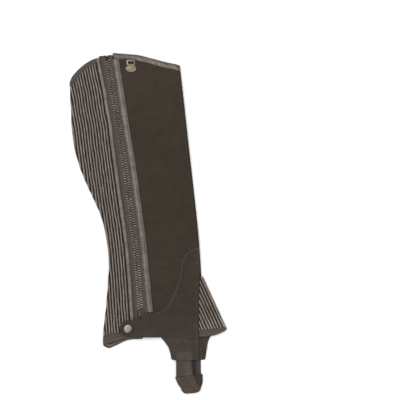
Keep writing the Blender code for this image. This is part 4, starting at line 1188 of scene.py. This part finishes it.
def turned(name, profile, centre, material, shade=0.0, turns=64):
    """A turned piece: (radius, height) rows from the bottom's middle, out and up to the top's middle.

    shade is how much darker it is on its lower right, from its middle out.
    """
    profile = np.array(profile, float)
    angle = np.linspace(0, 2 * np.pi, turns, endpoint=False)
    ring = grid_points(profile[1:-1, :1] * np.cos(angle), profile[1:-1, :1] * np.sin(angle),
                       profile[1:-1, 1:]).reshape(-1, 3)
    poles = np.array([(0, 0, profile[0, 1]), (0, 0, profile[-1, 1])])
    rings, count = len(profile) - 2, len(ring)
    low = fan_faces(0, turns, count, back=True).tolist()
    high = fan_faces(count - turns, turns, count + 1).tolist()
    points = np.concatenate([ring, poles])
    toward = (points[:, 0] - points[:, 1]) / np.sqrt(2) / profile[:, 0].max()
    tone = 1 - shade * np.clip(toward, 0, 1) ** 1.8
    return make_piece(name, to_metres(points + np.array(centre)),
                      tube_faces(rings, turns).tolist() + low + high, material, tone=tone)


plated, tree, shader = bare_material("plated snap", 0.45, 1.0)
place = node(tree, "TexCoord").outputs["Object"]
tarnish = mottle(tree, place, 420.0, 4.0, 0.6)
paint(tree, shader, tarnish, PLATE_DARK, PLATE_LIGHT, 0.3, 0.6)
vary_roughness(tree, shader, tarnish, 0.60, 0.38)
emboss(tree, shader, mottle(tree, place, 2400.0), 0.15, 0.0001)
on_tab = curve(BAND_LIE, SNAP[0]) + SUEDE + 0.1
dome_turn = np.linspace(np.pi / 2, 0, 18)
dome = [(SNAP_RADIUS * 0.86 * np.sin(a), 1.0 + 1.15 * np.cos(a)) for a in dome_turn]
rim = [(0, 0), (5.9, 0), (6.15, 0.1), (SNAP_RADIUS, 0.35), (6.2, 0.62), (6.0, 0.82), (5.7, 0.86),
       (5.5, 0.80)]
snap_cap = turned("snap_dome", rim + dome, (*SNAP, on_tab), plated, 0.80)
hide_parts("snap_cap")
on_ribs = UPPER + STRETCH + 0.8 + SEAM
stud_height = curve(BAND_LIE, SNAP[0]) - 2 * SEAM - on_ribs
stud_profile = [(0, 0), (STUD_RADIUS - 0.2, 0), (STUD_RADIUS, 0.2), (STUD_RADIUS, 0.35), (3.2, 0.5),
                (3.0, stud_height - 0.3), (2.7, stud_height), (0, stud_height)]
snap_stud = turned("snap_post", stud_profile, (*SNAP, on_ribs), plated)
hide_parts("snap_stud")

# Badge. A small pale brass plate with a plain domed face and a raised rim hangs from a flat loop
# under the binding; its face is bare.
BADGE = (-3.6, 238.0)
BADGE_LEAN = np.radians(-6.0)
BADGE_THICK = 1.1
DISC_HALF = (8.0, 5.6)
DISC_BELOW = 3.0
LOOP_HALF = (5.4, 3.1)
LOOP_ABOVE = 5.5
BRASS_DARK = (0.170, 0.128, 0.088)
BRASS_LIGHT = (0.410, 0.328, 0.240)

brass, tree, shader = bare_material("pale brass", 0.4, 0.85)
place = node(tree, "TexCoord").outputs["Object"]
brushed = node(tree, "Mapping", {"Vector": place, "Rotation": (0, 0, 0.5), "Scale": (1.0, 0.12, 1.0)})
lines = mottle(tree, brushed.outputs["Vector"], 2600.0, 3.0, 0.6)
cloud = mottle(tree, place, 300.0, 3.0, 0.6)
tone = maths(tree, "MULTIPLY_ADD", lines, 0.3, cloud)
paint(tree, shader, tone, BRASS_DARK, BRASS_LIGHT, 0.4, 0.85)
emboss(tree, shader, lines, 0.12, 0.0001)


def on_badge(points):
    """Turns points about the badge's middle by its lean and puts them on the suede."""
    lie = curve(PANEL_LIE, BADGE[0]) + SUEDE + 0.15
    return points @ level_turn(BADGE_LEAN).T + np.array([*BADGE, lie])


# The disc from its middle out: a shallow dome, a groove, then the raised rim and its side.
share = np.array([0, 0.25, 0.5, 0.68, 0.78, 0.84, 0.88, 0.93, 0.98, 1.0, 1.0, 0.985])
rise = np.array([1.0, 0.97, 0.88, 0.76, 0.66, 0.66, 0.92, 1.05, 0.95, 0.7, 0.2, 0.0]) * BADGE_THICK
angle = np.linspace(0, 2 * np.pi, 72, endpoint=False)
ring = grid_points(DISC_HALF[0] * share[1:, None] * np.cos(angle),
                   DISC_HALF[1] * share[1:, None] * np.sin(angle) - DISC_BELOW, rise[1:, None]).reshape(-1, 3)
points = np.concatenate([ring, [(0, -DISC_BELOW, rise[0]), (0, -DISC_BELOW, 0.0)]])
turns, count = len(angle), len(ring)
disc_faces = (tube_faces(count // turns, turns, back=True).tolist() + fan_faces(0, turns, count).tolist()
              + fan_faces(count - turns, turns, count + 1, back=True).tolist())
disc_tone = np.interp(points[:, 1] - 0.3 * points[:, 0], (-9, 2), (0.66, 0.53))
badge_disc = make_piece("badge_disc", to_metres(on_badge(points)), disc_faces, brass, tone=disc_tone)
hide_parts("badge")

# The loop is a flat wire frame: a rounded square ring carried round a rectangle.
loop_turn = np.linspace(0, 2 * np.pi, 96, endpoint=False)


def rectangle(turn, half, power=5.0):
    """Rounded rectangle: half * sign(c) |c|^(2/power)."""
    return np.stack([half[0] * np.sign(np.cos(turn)) * np.abs(np.cos(turn)) ** (2 / power),
                     half[1] * np.sign(np.sin(turn)) * np.abs(np.sin(turn)) ** (2 / power)], -1)


bars = np.linspace(0, 2 * np.pi, 12, endpoint=False)
outward = rectangle(loop_turn, (1.15, 1.05))
frame_line = rectangle(loop_turn, LOOP_HALF, 7.0)
ring = grid_points(frame_line[:, :1] + outward[:, :1] * np.cos(bars),
                   frame_line[:, 1:] + outward[:, 1:] * np.cos(bars) + LOOP_ABOVE,
                   0.50 + 0.45 * np.sin(bars))
points = ring.reshape(-1, 3)
loop_faces = tube_faces(len(loop_turn), len(bars), closed=True)[:, ::-1]
# The loop is painted lighter on its left and darker on its right, as light from the left and shade.
badge_loop = make_piece("badge_loop", to_metres(on_badge(points)), loop_faces, brass,
                        tone=np.interp(points[:, 0], (-5, 5), (0.98, 0.53)))

# Strap. It runs under the boot: a suede flare below each side of the ankle, a stretch of woven
# elastic from each flare, and one worn suede patch folded up round both elastics.
FLARE_LIE = [(-3, 3.1), (20, 2.7), (60, 2.2)]
OUTER_FLARE_LEFT = [(-212, 11.2), (-205, 10.7), (-195, 9.7), (-186, 7.6), (-179, 3.8), (-171, -1.6)]
OUTER_FLARE_RIGHT = [(-212, 50.0), (-195, 52.9), (-181, 55.3), (-171, 56.2)]
INNER_FLARE_LEFT = [(-213, 21.6), (-195, 20.4), (-186, 18.3), (-177, 14.4)]
INNER_FLARE_RIGHT = [(-213, 60.6), (-203, 63.3), (-195, 65.5), (-186, 67.9), (-177, 72.6)]
OUTER_FLARE_FOOT = [(10, -205.2), (18, -208.0), (51, -210.6)]
INNER_FLARE_FOOT = [(21, -210.4), (62, -211.4)]
OUTER_ELASTIC = ([(-232, 14.9), (-206, 17.6)], [(-232, 40.6), (-206, 41.8)])
INNER_ELASTIC = ([(-232, 27.4), (-206, 29.6)], [(-232, 52.5), (-206, 54.9)])
STRAP_FOLD = -232.0
STRAP_WEB = 1.5
PATCH_LEAF = 25.0
PATCH_HOLLOW = 0.6
PATCH_CORNER = 5.5
PATCH_WIDTH = 29
FLARE_DARK = (0.0252, 0.0194, 0.0145)
FLARE_LIGHT = (0.0490, 0.0388, 0.0310)
TAN_DARK = (0.090, 0.074, 0.060)
TAN_LIGHT = (0.170, 0.142, 0.118)
WEB_DARK = (0.034, 0.0268, 0.0225)
WEB_LIGHT = (0.096, 0.0785, 0.0670)
WORN_SUEDE_DARK = (0.0290, 0.0225, 0.0165)
WORN_SUEDE_LIGHT = (0.0640, 0.0510, 0.0400)
# The patch: distance along it from its front edge, left and right edges.
PATCH_SIDES = [
    (0, 13.2, 42.2), (12, 16.3, 45.4), (22, 20.2, 49.0), (28, 21.2, 50.4), (36, 23.6, 52.8), (54, 26.8, 55.0),
]
FLARE_CREASES = [
    (37.5, -185, 18, -62, 1.6, 0.45), (24, -192, 26, 6, 4.0, 0.25), (12, -186, 20, 70, 2.5, -0.20),
    (47, -196, 24, 84, 3.0, -0.30), (30, -181, 30, -4, 2.2, -0.25),
]

# The ends of the sewn rows that hold the elastic and the patch.
STRAP_BARS = (((19.3, -196.6), (42.4, -199.0)), ((18.7, -202.6), (41.8, -205.0)))
PATCH_ROWS = (((15.5, -234.8), (41.2, -234.8)), ((18.5, -252.5), (45.5, -252.5)))
# How light the flares and the web are across the strap: the far side lies in its own shade.
FLARE_TONE = [(-2, 1.08), (10, 1.20), (30, 1.22), (42, 1.18), (44, 1.06), (50, 1.18), (56, 1.08), (59, 0.98),
              (64, 1.16), (72, 1.20)]
WEB_TONE = [(14, 0.68), (24, 0.75), (39, 0.72), (41, 0.42), (46, 0.40), (49, 0.66), (55, 0.70)]

flare_suede = suede_finish("rubbed suede", FLARE_DARK, FLARE_LIGHT)
for name, stands_for, left, right, foot, head, lie, rows in (
        ("outer_flare_suede", "outer_strap_flare", OUTER_FLARE_LEFT, OUTER_FLARE_RIGHT, OUTER_FLARE_FOOT,
         edge(BAND_FOOT, -0.1), FLARE_LIE, FLARE_CREASES),
        ("inner_flare_suede", "inner_strap_flare", INNER_FLARE_LEFT, INNER_FLARE_RIGHT, INNER_FLARE_FOOT,
         edge(INNER_FOOT, -0.1), [(0, 0.0), (80, 0.0)], [])):
    across, up = field(edge(left), edge(right), edge(foot), head, spread(45, 0.7), spread(36, 0.7))
    sewn = 1 + 0.30 * near(across, 31, 11.5, 8) * near(up, -203, 6, 8)
    shade = (1 - 0.12 * near(up, head(across), 3)) * sewn * curve(FLARE_TONE, across)
    flare = cut_piece(name, across, up, curve(lie, across), SUEDE, flare_suede,
                      creases(rows, across, up), shade)
    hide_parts(stands_for)


def flare_top(across, up):
    """Height of the outer flare's upper face."""
    return curve(FLARE_LIE, across) + SUEDE + creases(FLARE_CREASES, across, up)


tan_thread, tree, shader = bare_material("tan thread", 0.6, Specular_IOR_Level=0.3)
place = node(tree, "TexCoord").outputs["Object"]
paint(tree, shader, mottle(tree, place, 700.0), TAN_DARK, TAN_LIGHT, 0.35, 0.65)
for number, (left_end, right_end) in enumerate(STRAP_BARS):
    line = np.linspace(left_end, right_end, 40)
    seam(f"strap_bar_{number + 1}", line, flare_top, tan_thread, pitch=2.2)

web = elastic_finish("strap elastic", WEB_DARK, WEB_LIGHT, 1.25, 0.9, 0.0003)
outer_lie = curve(FLARE_LIE, 30.0) - 0.2
for name, stands_for, sides, flare_foot, lie in (
        ("outer_elastic_web", "outer_strap_elastic", OUTER_ELASTIC, OUTER_FLARE_FOOT, outer_lie),
        ("inner_elastic_web", "inner_strap_elastic", INNER_ELASTIC, INNER_FLARE_FOOT, 0.0)):
    across, up = field(edge(sides[0]), edge(sides[1]), level(STRAP_FOLD - SEAM), drop(edge(flare_foot), 0.05),
                       spread(26, 0.35), spread(24, 0.7))
    cords = 0.10 * np.sin(2 * np.pi * (across - curve(sides[0], up)) / 1.75)
    bow = 0.25 * np.sin(np.pi * (up - STRAP_FOLD) / 24.0)
    pinched = 1 + (0.30 if lie else -0.35) * near(up, -229.5, 1.6) * near(across, 38, 7, 4)
    strap_web = cut_piece(name, across, up, lie, STRAP_WEB, web, cords + (bow if lie else 0.0),
                          curve(WEB_TONE, across) * pinched)
    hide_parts(stands_for)

# The patch is two leaves joined by a half circle of radius r round the fold: r sin(a) out from it
# and r cos(a) up or down from the middle between the leaves.
gap = PATCH_HOLLOW / 2
half_turn = np.pi * (gap + SUEDE / 2)
leaf_run = spread(PATCH_LEAF, 0.6)[:-len(RIM_STEPS) + 1] * PATCH_LEAF
leaf_run = leaf_run / leaf_run[-1] * PATCH_LEAF
run = np.concatenate([leaf_run, PATCH_LEAF + half_turn * np.linspace(0, 1, 14)[1:-1],
                      2 * PATCH_LEAF + half_turn - leaf_run[::-1]])[:, None]
u = spread(PATCH_WIDTH, 0.6)[None, :]
left = curve([(row[0], row[1]) for row in PATCH_SIDES], run)
right = curve([(row[0], row[2]) for row in PATCH_SIDES], run)
angle = np.clip((run - PATCH_LEAF) / half_turn, 0, 1) * np.pi
level_run = np.maximum(PATCH_LEAF - run, np.maximum(run - PATCH_LEAF - half_turn, 0))
cut_back = PATCH_CORNER * np.abs(2 * u - 1) ** 5 * (1 - level_run / PATCH_LEAF) ** 2
rim = rounded(np.minimum(np.minimum(u, 1 - u) * PATCH_WIDTH, np.minimum(run, run[-1] - run)), EDGE_ROUND)
across = left + (right - left) * u
grids = []
for thickness in (0.0 * rim, SUEDE * rim):
    radius = gap + thickness
    up = STRAP_FOLD - SEAM - PATCH_LEAF - radius * np.sin(angle) + level_run + cut_back
    height = gap + SUEDE + radius * np.cos(angle)
    grids.append(grid_points(across, up, height))
worn_suede = suede_finish("worn suede", WORN_SUEDE_DARK, WORN_SUEDE_LIGHT, 0.6)
beneath = 1 / (1 + np.exp(-(run - PATCH_LEAF - half_turn / 2) / 1.2))
shade = 1.03 * (1 - 0.33 * beneath) * (1 - 0.20 * near(across, right, 1.6))
shade = shade * (1 + 0.08 * np.sin(across / 2.3) * np.sin(run / 3.1 + 1))
patch = wall("strap_wear_patch", grids[0], grids[1], worn_suede, (across, run + 0 * u), shade)
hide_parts("strap_patch")
for number, (left_end, right_end) in enumerate(PATCH_ROWS):
    line = np.linspace(left_end, right_end, 40)
    seam(f"patch_stitches_{number + 1}", line,
                               lambda a, u: 0 * a + 2 * gap + 2 * SUEDE, tan_thread)
